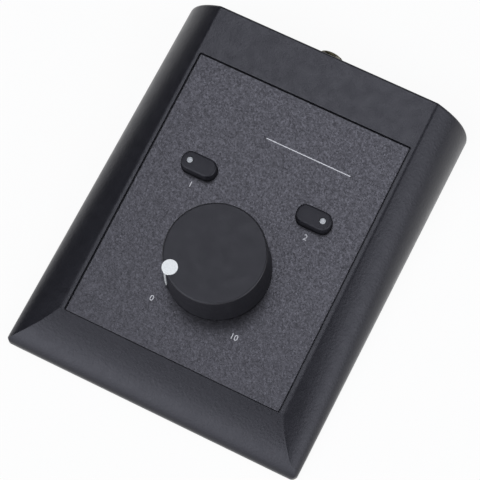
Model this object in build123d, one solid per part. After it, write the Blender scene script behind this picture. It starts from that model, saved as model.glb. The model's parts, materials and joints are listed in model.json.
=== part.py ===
from build123d import *
import os
from math import cos, pi, radians, sin, tan

# Desktop controller for studio monitors: a low wedge housing with an inset faceplate, one large
# volume knob, two sprung buttons with a light in each, and a threaded socket in the rear wall.
#
# Frame: +X to the user's right, +Y to the rear, +Z up. The origin is on the table, under the
# middle of the bounding box. Millimetres and degrees.
#
# "Slope frame": most pieces are drawn square to the sloping top. There x is across, s runs up the
# slope from the faceplate's front edge, and h stands out of the top face. SLOPE turns that frame
# into the row's frame.

# ---------------------------------------------------------------- driving dimensions
TILT = 6.0               # slope of the top face, low at the front
PLATE_W = 91.6           # faceplate across
PLATE_L = 115.7          # faceplate up the slope
FRONT_Z = 12.0           # top face above the table at the faceplate's front edge
FRONT_RUN = 19.0         # housing in front of the faceplate
REAR_LAND = 21.5         # flat top behind the faceplate
CREASE_X = 47.6          # half width of the flat top
HALF_W = 62.0            # half width of the housing at its foot
REAR_DRAFT = 2.0         # rear wall leans back at its foot
FOOT_H = 1.8             # rubber feet below the housing
WALL = 2.2
LIP = 0.9                # straight band at the foot of the front and sides
SIDE_BELLY = 0.36        # where the side curve's end tangents meet, as a share of its height
FRONT_BELLY = 0.44       # the same for the front curve
CREASE_FOLLOW = 0.7      # how far the inside's crease moves in with the wall
FRONT_FOLLOW = 0.3       # the same for the top of the inside's front curve
CREASE_SOFT = 0.05       # share of the side's run that rounds the crease
REAR_R = 1.0             # rear wall's rim
CORNER_R = 2.5           # front corners in plan

PLATE_T = 1.2
FILM_T = 0.15            # adhesive film under the faceplate
PLATE_GAP = 0.5          # shadow gap round the faceplate
DECK_T = 1.25            # housing floor under the film
FILM_INSET = 4.0         # film is narrower than the faceplate by this much
PLATE_R = 0.5            # faceplate's corner radius

KNOB_S = 40.2            # knob axis up the slope
KNOB_TOP_R = 19.8
KNOB_FOOT_R = 20.8
KNOB_LIFT = 0.8          # air under the knob's rim
KNOB_TOP_H = 21.5        # knob top above the faceplate
KNOB_EDGE = 0.6
KNOB_WALL = 2.6
KNOB_RIBS = 6
KNOB_RIB_T = 1.2
POINTER_ANGLE = 133.7    # pointer near the low stop, turned left from straight up the slope
POINTER_DOT_D = 6.25
POINTER_DOT_AT = 17.6    # dot's centre from the knob's axis
POINTER_LINE_W = 2.2
POINTER_PROUD = 0.4      # stripe stands out of the knob's side
POINTER_DEPTH = 0.8

SHAFT_D = 6.0
RUNNING_GAP = 0.04       # radial, shaft in its bushing
BUSHING_D = 7.0
BUSHING_TOP = 3.8
POT_SIZE = 12.0
POT_H = 4.4

BUTTON_X = 24.75
BUTTON_S = 73.1
BUTTON_L = 14.5
BUTTON_W = 7.8
BUTTON_R = 3.6
BUTTON_TOP = 4.8
BUTTON_GAP = 0.3         # all round, in the faceplate
BUTTON_TRAVEL = 0.5
LENS_D = 2.7
LENS_AT = 3.8            # lens centre from the button's centre, towards the outside

BOARD_T = 1.2
BOARD_W = 86.0
BOARD_S0 = 28.5
BOARD_S1 = 121.0
BOARD_R = 2.0

BASE_T = 1.5
BASE_GAP = 0.4
BASE_FRONT_GAP = 1.0     # the bellied front comes inwards sooner
BASE_R = 10.0
FOOT_D = 10.0
FOOT_SUNK = 0.6
FOOT_EDGE = 0.5
FOOT_X = 49.0            # feet either side
FOOT_FRONT = 14.0        # from the housing's front
FOOT_REAR = 27.0         # from the top's rear edge

SOCKET_Z = 15.4          # socket axis above the table, at the rear wall
COLLAR_D = 10.4
COLLAR_OUT = 3.6         # collar stands out of the rear wall
COLLAR_EDGE = 0.4
BARREL_D = 8.6
BORE_D = 7.4
BORE_DEPTH = 5.0         # plug's bore
RELIEF_D = 7.9           # groove between the bore and the insert's seat
RELIEF_L = 0.4
SEAT_D = 6.8
CONTACTS = 7

CASE_BOSS_D = 6.6
CASE_SCREW_D = 2.9
CASE_SCREW_GRIP = 3.4
CASE_HEAD_D = 5.6
CASE_KEY_R = 1.15        # hexagonal recess in the head
CASE_KEY_DEPTH = 0.9
CASE_SCREW_X = 53.0      # screws either side
CASE_SCREW_FRONT = 28.0  # from the housing's front
CASE_SCREW_REAR = 12.0   # from the top's rear edge
BOARD_BOSS_D = 5.6
BOARD_SCREW_D = 2.1
BOARD_SCREW_GRIP = 3.4
BOARD_HEAD_D = 3.8
BOARD_HEAD_H = 1.0
BOARD_SLOT = (2.2, 0.5, 0.8)
BOARD_SCREW_X = 37.0     # screws either side
BOARD_SCREW_FRONT = 9.5  # from the main board's ends
BOARD_SCREW_REAR = 7.0
RIB_H = 2.0              # stiffening rib under the deck
RIB_L = 74.0
RIB_T = 1.4
RIB_S = 86.8

KNOB_TOP_T = 3.0
HUB_D = 12.0
HUB_FOOT = 4.6
RIB_FOOT = 9.0
INSERT_D = 8.6
INSERT_L = 11.5
SHAFT_FLAT = 1.5         # flat from the shaft's axis
FLAT_BELOW = 0.2         # flat starts below the insert
SHAFT_SHORT = 1.0        # shaft stops short of the insert's end
POINTER_FOOT = 2.4       # stripe's lower end
POT_PLATE_T = 0.6
POT_CORNER_R = 0.8
POT_FLOOR = 0.8
TRACK_T = 0.4
ROTOR_D = 8.4
ROTOR_TOP = -3.5
ROTOR_T = 1.0
ROTOR_GAP = 0.7          # radial, in the potentiometer's case
POT_NUT_AF = 10.0
POT_NUT_H = 2.0
WASHER_D = 11.5
WASHER_T = 0.5
PIN_D = 0.8
POT_PIN_X = (-2.5, 0.0, 2.5)
POT_PIN_S = 4.0          # from the knob's axis
PIN_TAIL = 0.8           # pins stick out of a board

BUTTON_EDGE = 0.9
FLANGE_T = 0.8
FLANGE_OUT = 1.0         # flange beyond the cap
STEM_L = 1.0             # post from the flange to the plunger
SWITCH_SIZE = 4.9
SWITCH_H = 1.7
SWITCH_R = 0.4
SWITCH_FLOOR = 0.4
PLUNGER_D = 3.0
PLUNGER_GAP = 0.4        # on the diameter
PLUNGER_IN = 0.6         # length inside the switch
LENS_BELOW = 0.6         # lens reaches below the cap's post
LENS_PROUD = 0.1
LENS_EDGE = 0.2
INDICATOR = (1.6, 1.6, 0.7)
INDICATOR_SHIFT = 0.4    # light beyond the lens's axis

SOCKET_NUT_AF = 11.0
SOCKET_NUT_H = 2.0
GASKET_T = 0.4
GASKET_INSET = 0.6       # on the diameter
BARREL_GAP = 0.3         # on the diameter
BARREL_END = -9.0        # barrel's inner end, from the rear wall's face
CONTACT_RING_R = 2.3
CONTACT_SUNK = 0.6       # contacts sit back in the insert, and stick out of the board
INSERT_IN = 0.5          # insert starts inside the barrel's end
REAR_BOARD_W = -9.0      # socket board's rear face
REAR_BOARD_X = 44.0
REAR_BOARD_Y = 12.0
REAR_BOARD_RISE = 0.5    # board's middle above the socket
HEADER_PITCH = 2.0
HEADER_X = 13.0          # header beside the socket
HEADER_H = 2.6
HEADER_L = 5.0
HEADER_SHIFT = 1.3       # block's middle behind its pins
HEADER_INSET = 2.5       # pins from the main board's rear edge
HEADER_SHORT = 9.6       # pins end short of the top's rear edge

OVERRUN = 5.0            # cutting shapes run past what they cut
FUSE = 0.4               # joined shapes run into each other
SLIP = 0.1               # close clearance, on the diameter
LOOSE = 0.3              # wide clearance, on the diameter
HOLE_GAP = 0.4           # bushing in the deck and faceplate, on the diameter

# ---------------------------------------------------------------- derived sizes
DECK_UNDER = -(PLATE_T + FILM_T + DECK_T)          # h of the housing's ceiling under the plate
BOARD_TOP = DECK_UNDER - POT_H
BOARD_UNDER = BOARD_TOP - BOARD_T
LID_L = PLATE_L + REAR_LAND                        # flat top, up the slope
REAR_TOP_Y = LID_L * cos(radians(TILT))            # from the faceplate's front edge
REAR_TOP_Z = FRONT_Z + LID_L * sin(radians(TILT))
SOCKET_WALL_Y = REAR_TOP_Y + (REAR_TOP_Z - SOCKET_Z) * tan(radians(REAR_DRAFT))
SOCKET_END_Y = (SOCKET_WALL_Y + COLLAR_OUT * cos(radians(REAR_DRAFT))
                + (COLLAR_D / 2 - COLLAR_EDGE) * sin(radians(REAR_DRAFT)))
LENGTH = FRONT_RUN + SOCKET_END_Y
PLATE_Y = FRONT_RUN - LENGTH / 2                   # faceplate's front edge in the row's frame
FRONT_Y = -LENGTH / 2
BASE_TOP = FOOT_H + BASE_T
FLANGE_TOP = DECK_UNDER - SLIP
PLUNGER_TOP = FLANGE_TOP - FLANGE_T - STEM_L
SWITCH_TOP = BOARD_TOP + SWITCH_H
LENS_FOOT = PLUNGER_TOP - LENS_BELOW
HEADER_S = BOARD_S1 - HEADER_INSET
HEADER_END = LID_L - HEADER_SHORT
INSERT_FACE = COLLAR_OUT - BORE_DEPTH - RELIEF_L

SLOPE = Plane(
    origin=(0, PLATE_Y, FRONT_Z),
    x_dir=(1, 0, 0),
    z_dir=(0, -sin(radians(TILT)), cos(radians(TILT))),
)
REAR = Plane(
    origin=(0, PLATE_Y + SOCKET_WALL_Y, SOCKET_Z),
    x_dir=(-1, 0, 0),
    z_dir=(0, cos(radians(REAR_DRAFT)), sin(radians(REAR_DRAFT))),
)
SLOPE_AXIS = Axis(SLOPE.origin, SLOPE.z_dir)
REAR_AXIS = Axis(REAR.origin, REAR.z_dir)


# ---------------------------------------------------------------- small helpers
def on_slope(x, s, h):
    """Place something square to the top face."""
    return SLOPE.location * Location((x, s, h))


def post(x, s, h0, h1, diameter):
    """Round post square to the top face, from h0 up to h1."""
    return on_slope(x, s, h0) * extrude(Circle(diameter / 2), h1 - h0)


def upright(x, y, z0, z1, diameter):
    """Vertical round post."""
    return Location((x, y, z0)) * extrude(Circle(diameter / 2), z1 - z0)


def slab(x, s, h0, h1, width, length, radius=0.0):
    """Rectangular plate square to the top face, centred on x and s."""
    outline = RectangleRounded(width, length, radius) if radius else Rectangle(width, length)
    return on_slope(x, s, h0) * extrude(outline, h1 - h0)


def pill(x, s, h0, h1, grow=0.0):
    """Button outline, grown all round."""
    outline = RectangleRounded(BUTTON_L + 2 * grow, BUTTON_W + 2 * grow, BUTTON_R + grow)
    return on_slope(x, s, h0) * extrude(outline, h1 - h0)


def top_z(y):
    """Height of the top plane above the table, y counted from the faceplate's front edge."""
    return FRONT_Z + y * tan(radians(TILT))


def save(name, piece):
    """Write one node."""
    export_step(piece, f"parts/{name}.step")


# ---------------------------------------------------------------- housing
def half_section(y, shrink, lower):
    """Right half of the arched section at one station: flat top, soft crease, bellied side."""
    half = HALF_W - shrink
    crease = CREASE_X - shrink * CREASE_FOLLOW
    top = top_z(y) - lower
    foot = FOOT_H + LIP
    belly = top - (top - foot) * SIDE_BELLY
    soft = (half - crease) * CREASE_SOFT
    turn = (crease + soft, top - (top - belly) * CREASE_SOFT)
    runs = [
        [(0, top), (crease - soft, top)],
        [(crease - soft, top), (crease, top), turn],
        [turn, (half, belly), (half, foot)],
        [(half, foot), (half, 0)],
        [(half, 0), (0, 0)],
        [(0, 0), (0, top)],
    ]
    return Wire([Bezier(*((x, PLATE_Y + y, z) for x, z in run)) for run in runs])


def side_view(shrink, lower, bottom):
    """Outline seen from the side: bellied front, open top, leaning rear wall."""
    front = FRONT_Y + shrink
    foot = FOOT_H + LIP
    top = FRONT_Z - lower
    start = PLATE_Y + shrink * FRONT_FOLLOW
    belly = top - (top - foot) * FRONT_BELLY
    roof = REAR_TOP_Z + 2 * OVERRUN
    lean = tan(radians(REAR_DRAFT))
    rear = PLATE_Y + REAR_TOP_Y - shrink
    corners = [
        (0, start, top),
        (0, start + roof - top, roof),
        (0, rear - (roof - REAR_TOP_Z) * lean, roof),
        (0, rear + (REAR_TOP_Z - bottom) * lean, bottom),
        (0, front, bottom),
        (0, front, foot),
    ]
    curve = Bezier(corners[-1], (0, front, belly), corners[0])
    return Face(Wire(Polyline(*corners).edges() + [curve]))


def half_wedge(shrink=0.0, lower=0.0, bottom=FOOT_H):
    """Right half of the wedge: the side view pushed across, met by the arch that runs to the rear."""
    ends = [half_section(y, shrink, lower) for y in (-FRONT_RUN - OVERRUN, REAR_TOP_Y + OVERRUN)]
    profile = Location((-HALF_W, 0, 0)) * side_view(shrink, lower, bottom)
    return Solid.make_loft(ends, ruled=True) & Solid.extrude(profile, Vector(2 * HALF_W + OVERRUN, 0, 0))


def mirrored(half):
    """A right half joined to its mirror image."""
    return half + half.mirror(Plane.YZ)


def rear_rim(half):
    """Edges round the rear wall, above the straight band."""
    rear = [edge for edge in half.edges() if edge.bounding_box().min.Y > PLATE_Y + REAR_TOP_Y - REAR_R]
    return [edge for edge in rear
            if edge.bounding_box().max.Z > FOOT_H + LIP + SLIP and edge.bounding_box().max.X > SLIP]


def footprint():
    """Upright block with the housing's plan corners."""
    front_to_rear = SOCKET_WALL_Y + FRONT_RUN + 2 * OVERRUN
    outline = RectangleRounded(2 * HALF_W, front_to_rear, CORNER_R)
    return Location((0, FRONT_Y + front_to_rear / 2, 0)) * extrude(outline, REAR_TOP_Z + OVERRUN)


def case_screw_places():
    """Four screws that hold the base plate, clear of the feet."""
    stations = (FRONT_Y + CASE_SCREW_FRONT, PLATE_Y + REAR_TOP_Y - CASE_SCREW_REAR)
    return [(x, y) for x in (-CASE_SCREW_X, CASE_SCREW_X) for y in stations]


def foot_places():
    """Four rubber feet near the corners."""
    stations = (FRONT_Y + FOOT_FRONT, PLATE_Y + REAR_TOP_Y - FOOT_REAR)
    return [(x, y) for x in (-FOOT_X, FOOT_X) for y in stations]


def board_screw_places():
    """Four screws up through the main board, as (x, s)."""
    stations = (BOARD_S0 + BOARD_SCREW_FRONT, BOARD_S1 - BOARD_SCREW_REAR)
    return [(x, s) for x in (-BOARD_SCREW_X, BOARD_SCREW_X) for s in stations]


def buttons():
    """Left and right button: name and centre across."""
    return [("left", -BUTTON_X), ("right", BUTTON_X)]


def upper_shell():
    """Moulded wedge, open below, with the faceplate's pocket, its bosses and every opening."""
    half = half_wedge()
    half = half.fillet(REAR_R, rear_rim(half)) & footprint()
    lid = -DECK_UNDER / cos(radians(TILT))
    shell = mirrored(half - half_wedge(WALL, lid, bottom=0))
    ceiling = mirrored(half_wedge(WALL / 2, lid / 2))
    for x, y in case_screw_places():
        shell += upright(x, y, BASE_TOP, REAR_TOP_Z, CASE_BOSS_D) & ceiling
    for x, s in board_screw_places():
        shell += post(x, s, BOARD_TOP, DECK_UNDER + FUSE, BOARD_BOSS_D)
    shell += slab(0, RIB_S, DECK_UNDER - RIB_H, DECK_UNDER + FUSE, RIB_L, RIB_T)
    middle = PLATE_L / 2
    pocket = (PLATE_W + PLATE_GAP, PLATE_L + PLATE_GAP)
    shell -= slab(0, middle, -PLATE_T - FILM_T, OVERRUN, *pocket, PLATE_R + PLATE_GAP)
    shell -= post(0, KNOB_S, DECK_UNDER - OVERRUN, OVERRUN, BUSHING_D + HOLE_GAP)
    for _, x in buttons():
        shell -= pill(x, BUTTON_S, DECK_UNDER - OVERRUN, OVERRUN, BUTTON_GAP)
    for x, y in case_screw_places():
        shell -= upright(x, y, FOOT_H, BASE_TOP + CASE_SCREW_GRIP + LOOSE, CASE_SCREW_D + SLIP)
    for x, s in board_screw_places():
        shell -= post(x, s, BOARD_TOP - FUSE, BOARD_TOP + BOARD_SCREW_GRIP + LOOSE, BOARD_SCREW_D + SLIP)
    return shell - rear_post(-WALL - OVERRUN, OVERRUN, BARREL_D + BARREL_GAP)


def standing_cone(foot_r, top_r):
    """Countersink or screw head as thick as the base plate."""
    return Cone(foot_r, top_r, BASE_T, align=(Align.CENTER, Align.CENTER, Align.MIN))


def base_plate():
    """Steel plate inside the housing's foot, countersunk for its screws."""
    front = FRONT_Y + WALL + BASE_FRONT_GAP
    rear = PLATE_Y + REAR_TOP_Y - WALL - BASE_GAP
    width = 2 * (HALF_W - WALL - BASE_GAP)
    plate = Location((0, (front + rear) / 2, FOOT_H)) * extrude(
        RectangleRounded(width, rear - front, BASE_R), BASE_T)
    head = standing_cone(CASE_HEAD_D / 2, CASE_SCREW_D / 2 + SLIP)
    for x, y in case_screw_places():
        plate -= Location((x, y, FOOT_H)) * head
    for x, y in foot_places():
        plate -= upright(x, y, FOOT_H, FOOT_H + FOOT_SUNK, FOOT_D + SLIP)
    return plate


def case_screws():
    """Countersunk screws into the housing's bosses."""
    head = standing_cone((CASE_HEAD_D - SLIP) / 2, CASE_SCREW_D / 2)
    socket = extrude(RegularPolygon(CASE_KEY_R, 6), CASE_KEY_DEPTH)
    screw = head + Location((0, 0, BASE_T)) * extrude(Circle(CASE_SCREW_D / 2), CASE_SCREW_GRIP)
    screw -= socket
    return Compound([Location((x, y, FOOT_H)) * screw for x, y in case_screw_places()])


def rubber_feet():
    """Feet sunk a little into the base plate."""
    foot = extrude(Circle(FOOT_D / 2), FOOT_H + FOOT_SUNK)
    foot = fillet(foot.edges().filter_by(GeomType.CIRCLE).sort_by(Axis.Z)[0], FOOT_EDGE)
    return Compound([Location((x, y, 0)) * foot for x, y in foot_places()])


def plate_blank(h0, h1, shrink):
    """Sheet that fills the faceplate's pocket, pierced for the knob and buttons."""
    sheet = slab(0, PLATE_L / 2, h0, h1, PLATE_W - shrink, PLATE_L - shrink, PLATE_R)
    sheet -= post(0, KNOB_S, h0 - OVERRUN, h1 + OVERRUN, BUSHING_D + HOLE_GAP)
    for _, x in buttons():
        sheet -= pill(x, BUTTON_S, h0 - OVERRUN, h1 + OVERRUN, BUTTON_GAP)
    return sheet


def faceplate():
    """Painted metal plate, flush with the top."""
    return plate_blank(-PLATE_T, 0, PLATE_GAP)


def faceplate_film():
    """Double-sided film that holds the faceplate."""
    return plate_blank(-PLATE_T - FILM_T, -PLATE_T, FILM_INSET)


# ---------------------------------------------------------------- knob and potentiometer
def knob_form(shrink=0.0):
    """Solid of the knob's outside, tapering a little to the top, shrunk on request."""
    top = KNOB_TOP_H - shrink
    profile = make_face(Polyline(
        (0, KNOB_LIFT), (KNOB_FOOT_R - shrink, KNOB_LIFT), (KNOB_TOP_R - shrink, top), (0, top), close=True))
    form = revolve(Plane.XZ * profile, Axis.Z)
    rim = form.edges().filter_by(GeomType.CIRCLE).sort_by(Axis.Z)[-1]
    return fillet(rim, KNOB_EDGE)


def pointer_form():
    """Round head let into the top and a stripe down the side, as one inlay along +Y of the knob."""
    head = Location((0, POINTER_DOT_AT, KNOB_TOP_H - POINTER_DEPTH)) * extrude(
        Circle(POINTER_DOT_D / 2), POINTER_DEPTH)
    stripe = Location((0, KNOB_FOOT_R, POINTER_FOOT)) * Box(
        POINTER_LINE_W, 2 * OVERRUN, KNOB_TOP_H - FUSE - POINTER_FOOT,
        align=(Align.CENTER, Align.CENTER, Align.MIN))
    return head + (stripe & (knob_form(-POINTER_PROUD) - knob_form(POINTER_DEPTH)))


def knob_place():
    """The knob's own frame, turned so that its pointer rests near the low stop."""
    return on_slope(0, KNOB_S, 0) * Rotation(0, 0, POINTER_ANGLE)


def shaft_section(diameter):
    """Round with one flat."""
    return Circle(diameter / 2) - Location((0, diameter / 2 + SHAFT_FLAT)) * Rectangle(diameter, diameter)


def volume_knob():
    """Hollow moulded knob with a ribbed hub."""
    ceiling = KNOB_TOP_H - KNOB_TOP_T
    hollow = Location((0, 0, KNOB_LIFT)) * extrude(Circle(KNOB_TOP_R - KNOB_WALL), ceiling - KNOB_LIFT)
    hub = Location((0, 0, HUB_FOOT)) * extrude(Circle(HUB_D / 2), ceiling - HUB_FOOT + FUSE)
    rib = Location((KNOB_TOP_R / 2, 0, (RIB_FOOT + ceiling + FUSE) / 2)) * Box(
        KNOB_TOP_R - KNOB_WALL, KNOB_RIB_T, ceiling + FUSE - RIB_FOOT)
    inner = hub
    for i in range(KNOB_RIBS):
        inner += Rotation(0, 0, i * 360 / KNOB_RIBS) * rib
    knob = knob_form() - (hollow - inner)
    knob -= Location((0, 0, HUB_FOOT)) * extrude(Circle(INSERT_D / 2), INSERT_L)
    return knob_place() * (knob - pointer_form())


def knob_insert():
    """Brass hub insert with a flatted bore."""
    sleeve = extrude(Circle(INSERT_D / 2) - shaft_section(SHAFT_D), INSERT_L)
    return knob_place() * Location((0, 0, HUB_FOOT)) * sleeve


def knob_pointer():
    """White inlay that marks the setting."""
    return knob_place() * pointer_form()


def pot_shaft():
    """Shaft: round in the bushing, flatted in the knob, with the rotor disc at its foot."""
    round_top = HUB_FOOT - FLAT_BELOW
    flat_l = FLAT_BELOW + INSERT_L - SHAFT_SHORT
    shaft = Location((0, 0, ROTOR_TOP)) * extrude(Circle(SHAFT_D / 2), round_top - ROTOR_TOP)
    shaft += Location((0, 0, round_top)) * extrude(shaft_section(SHAFT_D), flat_l)
    shaft += Location((0, 0, ROTOR_TOP - ROTOR_T)) * extrude(Circle(ROTOR_D / 2), ROTOR_T)
    return knob_place() * shaft


def pot_bushing():
    """Threaded bushing on its square mounting plate."""
    plate = slab(0, KNOB_S, DECK_UNDER - POT_PLATE_T, DECK_UNDER, POT_SIZE, POT_SIZE, POT_CORNER_R)
    plate += post(0, KNOB_S, DECK_UNDER, BUSHING_TOP, BUSHING_D)
    return plate - post(0, KNOB_S, DECK_UNDER - OVERRUN, BUSHING_TOP + OVERRUN, SHAFT_D + 2 * RUNNING_GAP)


def pot_body():
    """Potentiometer's case, soldered to the main board."""
    top = DECK_UNDER - POT_PLATE_T
    case = slab(0, KNOB_S, BOARD_TOP, top, POT_SIZE, POT_SIZE, POT_CORNER_R)
    return case - post(0, KNOB_S, BOARD_TOP + POT_FLOOR, top + OVERRUN, ROTOR_D + 2 * ROTOR_GAP)


def pot_track():
    """Resistive track at the bottom of the potentiometer's case."""
    floor = BOARD_TOP + POT_FLOOR
    return post(0, KNOB_S, floor, floor + TRACK_T, ROTOR_D + 2 * (ROTOR_GAP - SLIP))


def pot_pins():
    """Three terminals through the main board."""
    s = KNOB_S + POT_PIN_S
    return Compound([post(x, s, BOARD_UNDER - PIN_TAIL, BOARD_TOP, PIN_D) for x in POT_PIN_X])


def pot_washer():
    """Washer on the faceplate."""
    return post(0, KNOB_S, 0, WASHER_T, WASHER_D) - post(0, KNOB_S, -OVERRUN, OVERRUN, BUSHING_D + SLIP)


def pot_nut():
    """Hexagon nut that clamps the bushing to the deck and faceplate."""
    nut = on_slope(0, KNOB_S, WASHER_T) * extrude(
        RegularPolygon(POT_NUT_AF / 2, 6, major_radius=False), POT_NUT_H)
    return nut - post(0, KNOB_S, 0, OVERRUN, BUSHING_D + RUNNING_GAP)


# ---------------------------------------------------------------- buttons
def button_cap(x):
    """Soft cap with a flange that keeps it in the housing and a post for the switch."""
    cap = pill(x, BUTTON_S, FLANGE_TOP - FUSE, BUTTON_TOP)
    cap = fillet(cap.faces().sort_by(SLOPE_AXIS)[-1].edges(), BUTTON_EDGE)
    cap += pill(x, BUTTON_S, FLANGE_TOP - FLANGE_T, FLANGE_TOP, FLANGE_OUT)
    cap += post(x, BUTTON_S, PLUNGER_TOP, FLANGE_TOP - FLANGE_T / 2, PLUNGER_D)
    return cap - post(lens_x(x), BUTTON_S, PLUNGER_TOP - OVERRUN, BUTTON_TOP + OVERRUN, LENS_D)


def lens_x(x):
    """Lens centre across, in the outer end of the button at x."""
    return x + (LENS_AT if x > 0 else -LENS_AT)


def button_lens(x):
    """Clear light pipe, flush with the cap's top."""
    lens = post(lens_x(x), BUTTON_S, LENS_FOOT, BUTTON_TOP + LENS_PROUD, LENS_D)
    return fillet(lens.edges().sort_by(SLOPE_AXIS)[-1], LENS_EDGE)


def switch_body(x):
    """Low switch on the main board, with a well for its plunger."""
    case = slab(x, BUTTON_S, BOARD_TOP, SWITCH_TOP, SWITCH_SIZE, SWITCH_SIZE, SWITCH_R)
    return case - post(x, BUTTON_S, BOARD_TOP + SWITCH_FLOOR, SWITCH_TOP + OVERRUN, PLUNGER_D + PLUNGER_GAP)


def switch_plunger(x):
    """Plunger that follows the cap down."""
    return post(x, BUTTON_S, SWITCH_TOP - PLUNGER_IN, PLUNGER_TOP, PLUNGER_D)


def indicator(x):
    """Small light on the board under the lens."""
    width, length, height = INDICATOR
    shift = INDICATOR_SHIFT if x > 0 else -INDICATOR_SHIFT
    return slab(lens_x(x) + shift, BUTTON_S, BOARD_TOP, BOARD_TOP + height, width, length)


# ---------------------------------------------------------------- boards and rear socket
def through_board(x, s, diameter):
    """Cutter for a hole in the main board."""
    return post(x, s, BOARD_UNDER - OVERRUN, BOARD_TOP + OVERRUN, diameter)


def main_board():
    """Circuit board parallel to the top."""
    middle = (BOARD_S0 + BOARD_S1) / 2
    board = slab(0, middle, BOARD_UNDER, BOARD_TOP, BOARD_W, BOARD_S1 - BOARD_S0, BOARD_R)
    for x, s in board_screw_places():
        board -= through_board(x, s, BOARD_SCREW_D + LOOSE)
    for x in POT_PIN_X:
        board -= through_board(x, KNOB_S + POT_PIN_S, PIN_D + 2 * SLIP)
    for x in header_x():
        board -= through_board(x, HEADER_S, PIN_D + 2 * SLIP)
    return board


def board_screws():
    """Pan-head screws up into the housing's bosses."""
    screw = extrude(Circle(BOARD_SCREW_D / 2), BOARD_T + BOARD_SCREW_GRIP)
    screw += Location((0, 0, -BOARD_HEAD_H)) * extrude(Circle(BOARD_HEAD_D / 2), BOARD_HEAD_H)
    slot = Location((0, 0, -BOARD_HEAD_H)) * Box(*BOARD_SLOT)
    screw -= slot + Rotation(0, 0, 90) * slot
    return Compound([on_slope(x, s, BOARD_UNDER) * screw for x, s in board_screw_places()])


def header_x():
    """Pins of the header, one for each contact of the socket."""
    return [HEADER_X + (i - (CONTACTS - 1) / 2) * HEADER_PITCH for i in range(CONTACTS)]


def board_header():
    """Plastic block of the angled header, under the main board's rear edge."""
    middle = HEADER_S + HEADER_SHIFT
    block = slab(HEADER_X, middle, BOARD_UNDER - HEADER_H, BOARD_UNDER, CONTACTS * HEADER_PITCH, HEADER_L)
    return block - header_pins()


def header_leg(x, diameter=PIN_D, longer=0.0):
    """Leg of an angled pin that runs to the rear, or a cutter for it."""
    run = HEADER_END - HEADER_S + longer
    leg = Rotation(-90, 0, 0) * extrude(Circle(diameter / 2), run)
    return on_slope(x, HEADER_S, BOARD_UNDER - HEADER_H / 2) * leg


def header_pins():
    """Angled pins that join the socket's board to the main board."""
    pins = []
    for x in header_x():
        upright_leg = post(x, HEADER_S, BOARD_UNDER - (HEADER_H + PIN_D) / 2, BOARD_TOP + PIN_TAIL, PIN_D)
        pins.append(upright_leg + header_leg(x))
    return Compound(pins)


def on_rear(x, y, w):
    """Place something square to the rear wall, w out of its face, at the socket."""
    return REAR.location * Location((x, y, w))


def rear_post(w0, w1, diameter, x=0.0, y=0.0):
    """Round bar square to the rear wall."""
    return on_rear(x, y, w0) * extrude(Circle(diameter / 2), w1 - w0)


def contact_places():
    """One contact in the middle and the others round it."""
    ring = CONTACTS - 1
    places = [(0.0, 0.0)]
    for i in range(ring):
        angle = 2 * pi * i / ring
        places.append((CONTACT_RING_R * sin(angle), CONTACT_RING_R * cos(angle)))
    return places


def socket_shell():
    """Plated barrel with a collar outside the wall, open at the rear for the plug."""
    tube = rear_post(BARREL_END, GASKET_T, BARREL_D) + rear_post(GASKET_T, COLLAR_OUT, COLLAR_D)
    tube -= rear_post(COLLAR_OUT - BORE_DEPTH, COLLAR_OUT + OVERRUN, BORE_D)
    tube -= rear_post(INSERT_FACE, COLLAR_OUT - BORE_DEPTH, RELIEF_D)
    tube -= rear_post(BARREL_END - OVERRUN, INSERT_FACE, SEAT_D)
    rim = tube.edges().filter_by(GeomType.CIRCLE).sort_by(REAR_AXIS)[-2:]
    outer_rim = sorted(rim, key=lambda edge: edge.radius)[-1]
    return chamfer(outer_rim, COLLAR_EDGE)


def socket_gasket():
    """Rubber ring between the collar and the wall."""
    return rear_post(0, GASKET_T, COLLAR_D - GASKET_INSET) - rear_post(-OVERRUN, OVERRUN, BARREL_D + SLIP)


def socket_nut():
    """Nut inside the wall."""
    nut = on_rear(0, 0, -WALL - SOCKET_NUT_H) * extrude(
        RegularPolygon(SOCKET_NUT_AF / 2, 6, major_radius=False), SOCKET_NUT_H)
    return nut - rear_post(-WALL - SOCKET_NUT_H - OVERRUN, 0, BARREL_D + RUNNING_GAP)


def socket_insert():
    """Insulator with a hole for each contact."""
    insert = rear_post(BARREL_END + INSERT_IN, INSERT_FACE, SEAT_D)
    for x, y in contact_places():
        insert -= rear_post(BARREL_END - OVERRUN, INSERT_FACE + OVERRUN, PIN_D, x, y)
    return insert


def socket_contacts():
    """Contacts from just inside the insert's face to the socket's board."""
    tail = REAR_BOARD_W - BOARD_T - CONTACT_SUNK
    return Compound([rear_post(tail, INSERT_FACE - CONTACT_SUNK, PIN_D, x, y) for x, y in contact_places()])


def socket_board():
    """Small board across the socket's inner end."""
    board = on_rear(0, REAR_BOARD_RISE, REAR_BOARD_W - BOARD_T) * extrude(
        Rectangle(REAR_BOARD_X, REAR_BOARD_Y), BOARD_T)
    for x, y in contact_places():
        board -= rear_post(REAR_BOARD_W - BOARD_T - OVERRUN, REAR_BOARD_W + OVERRUN, PIN_D + 2 * SLIP, x, y)
    for x in header_x():
        board -= header_leg(x, PIN_D + LOOSE, OVERRUN)
    return board


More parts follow.
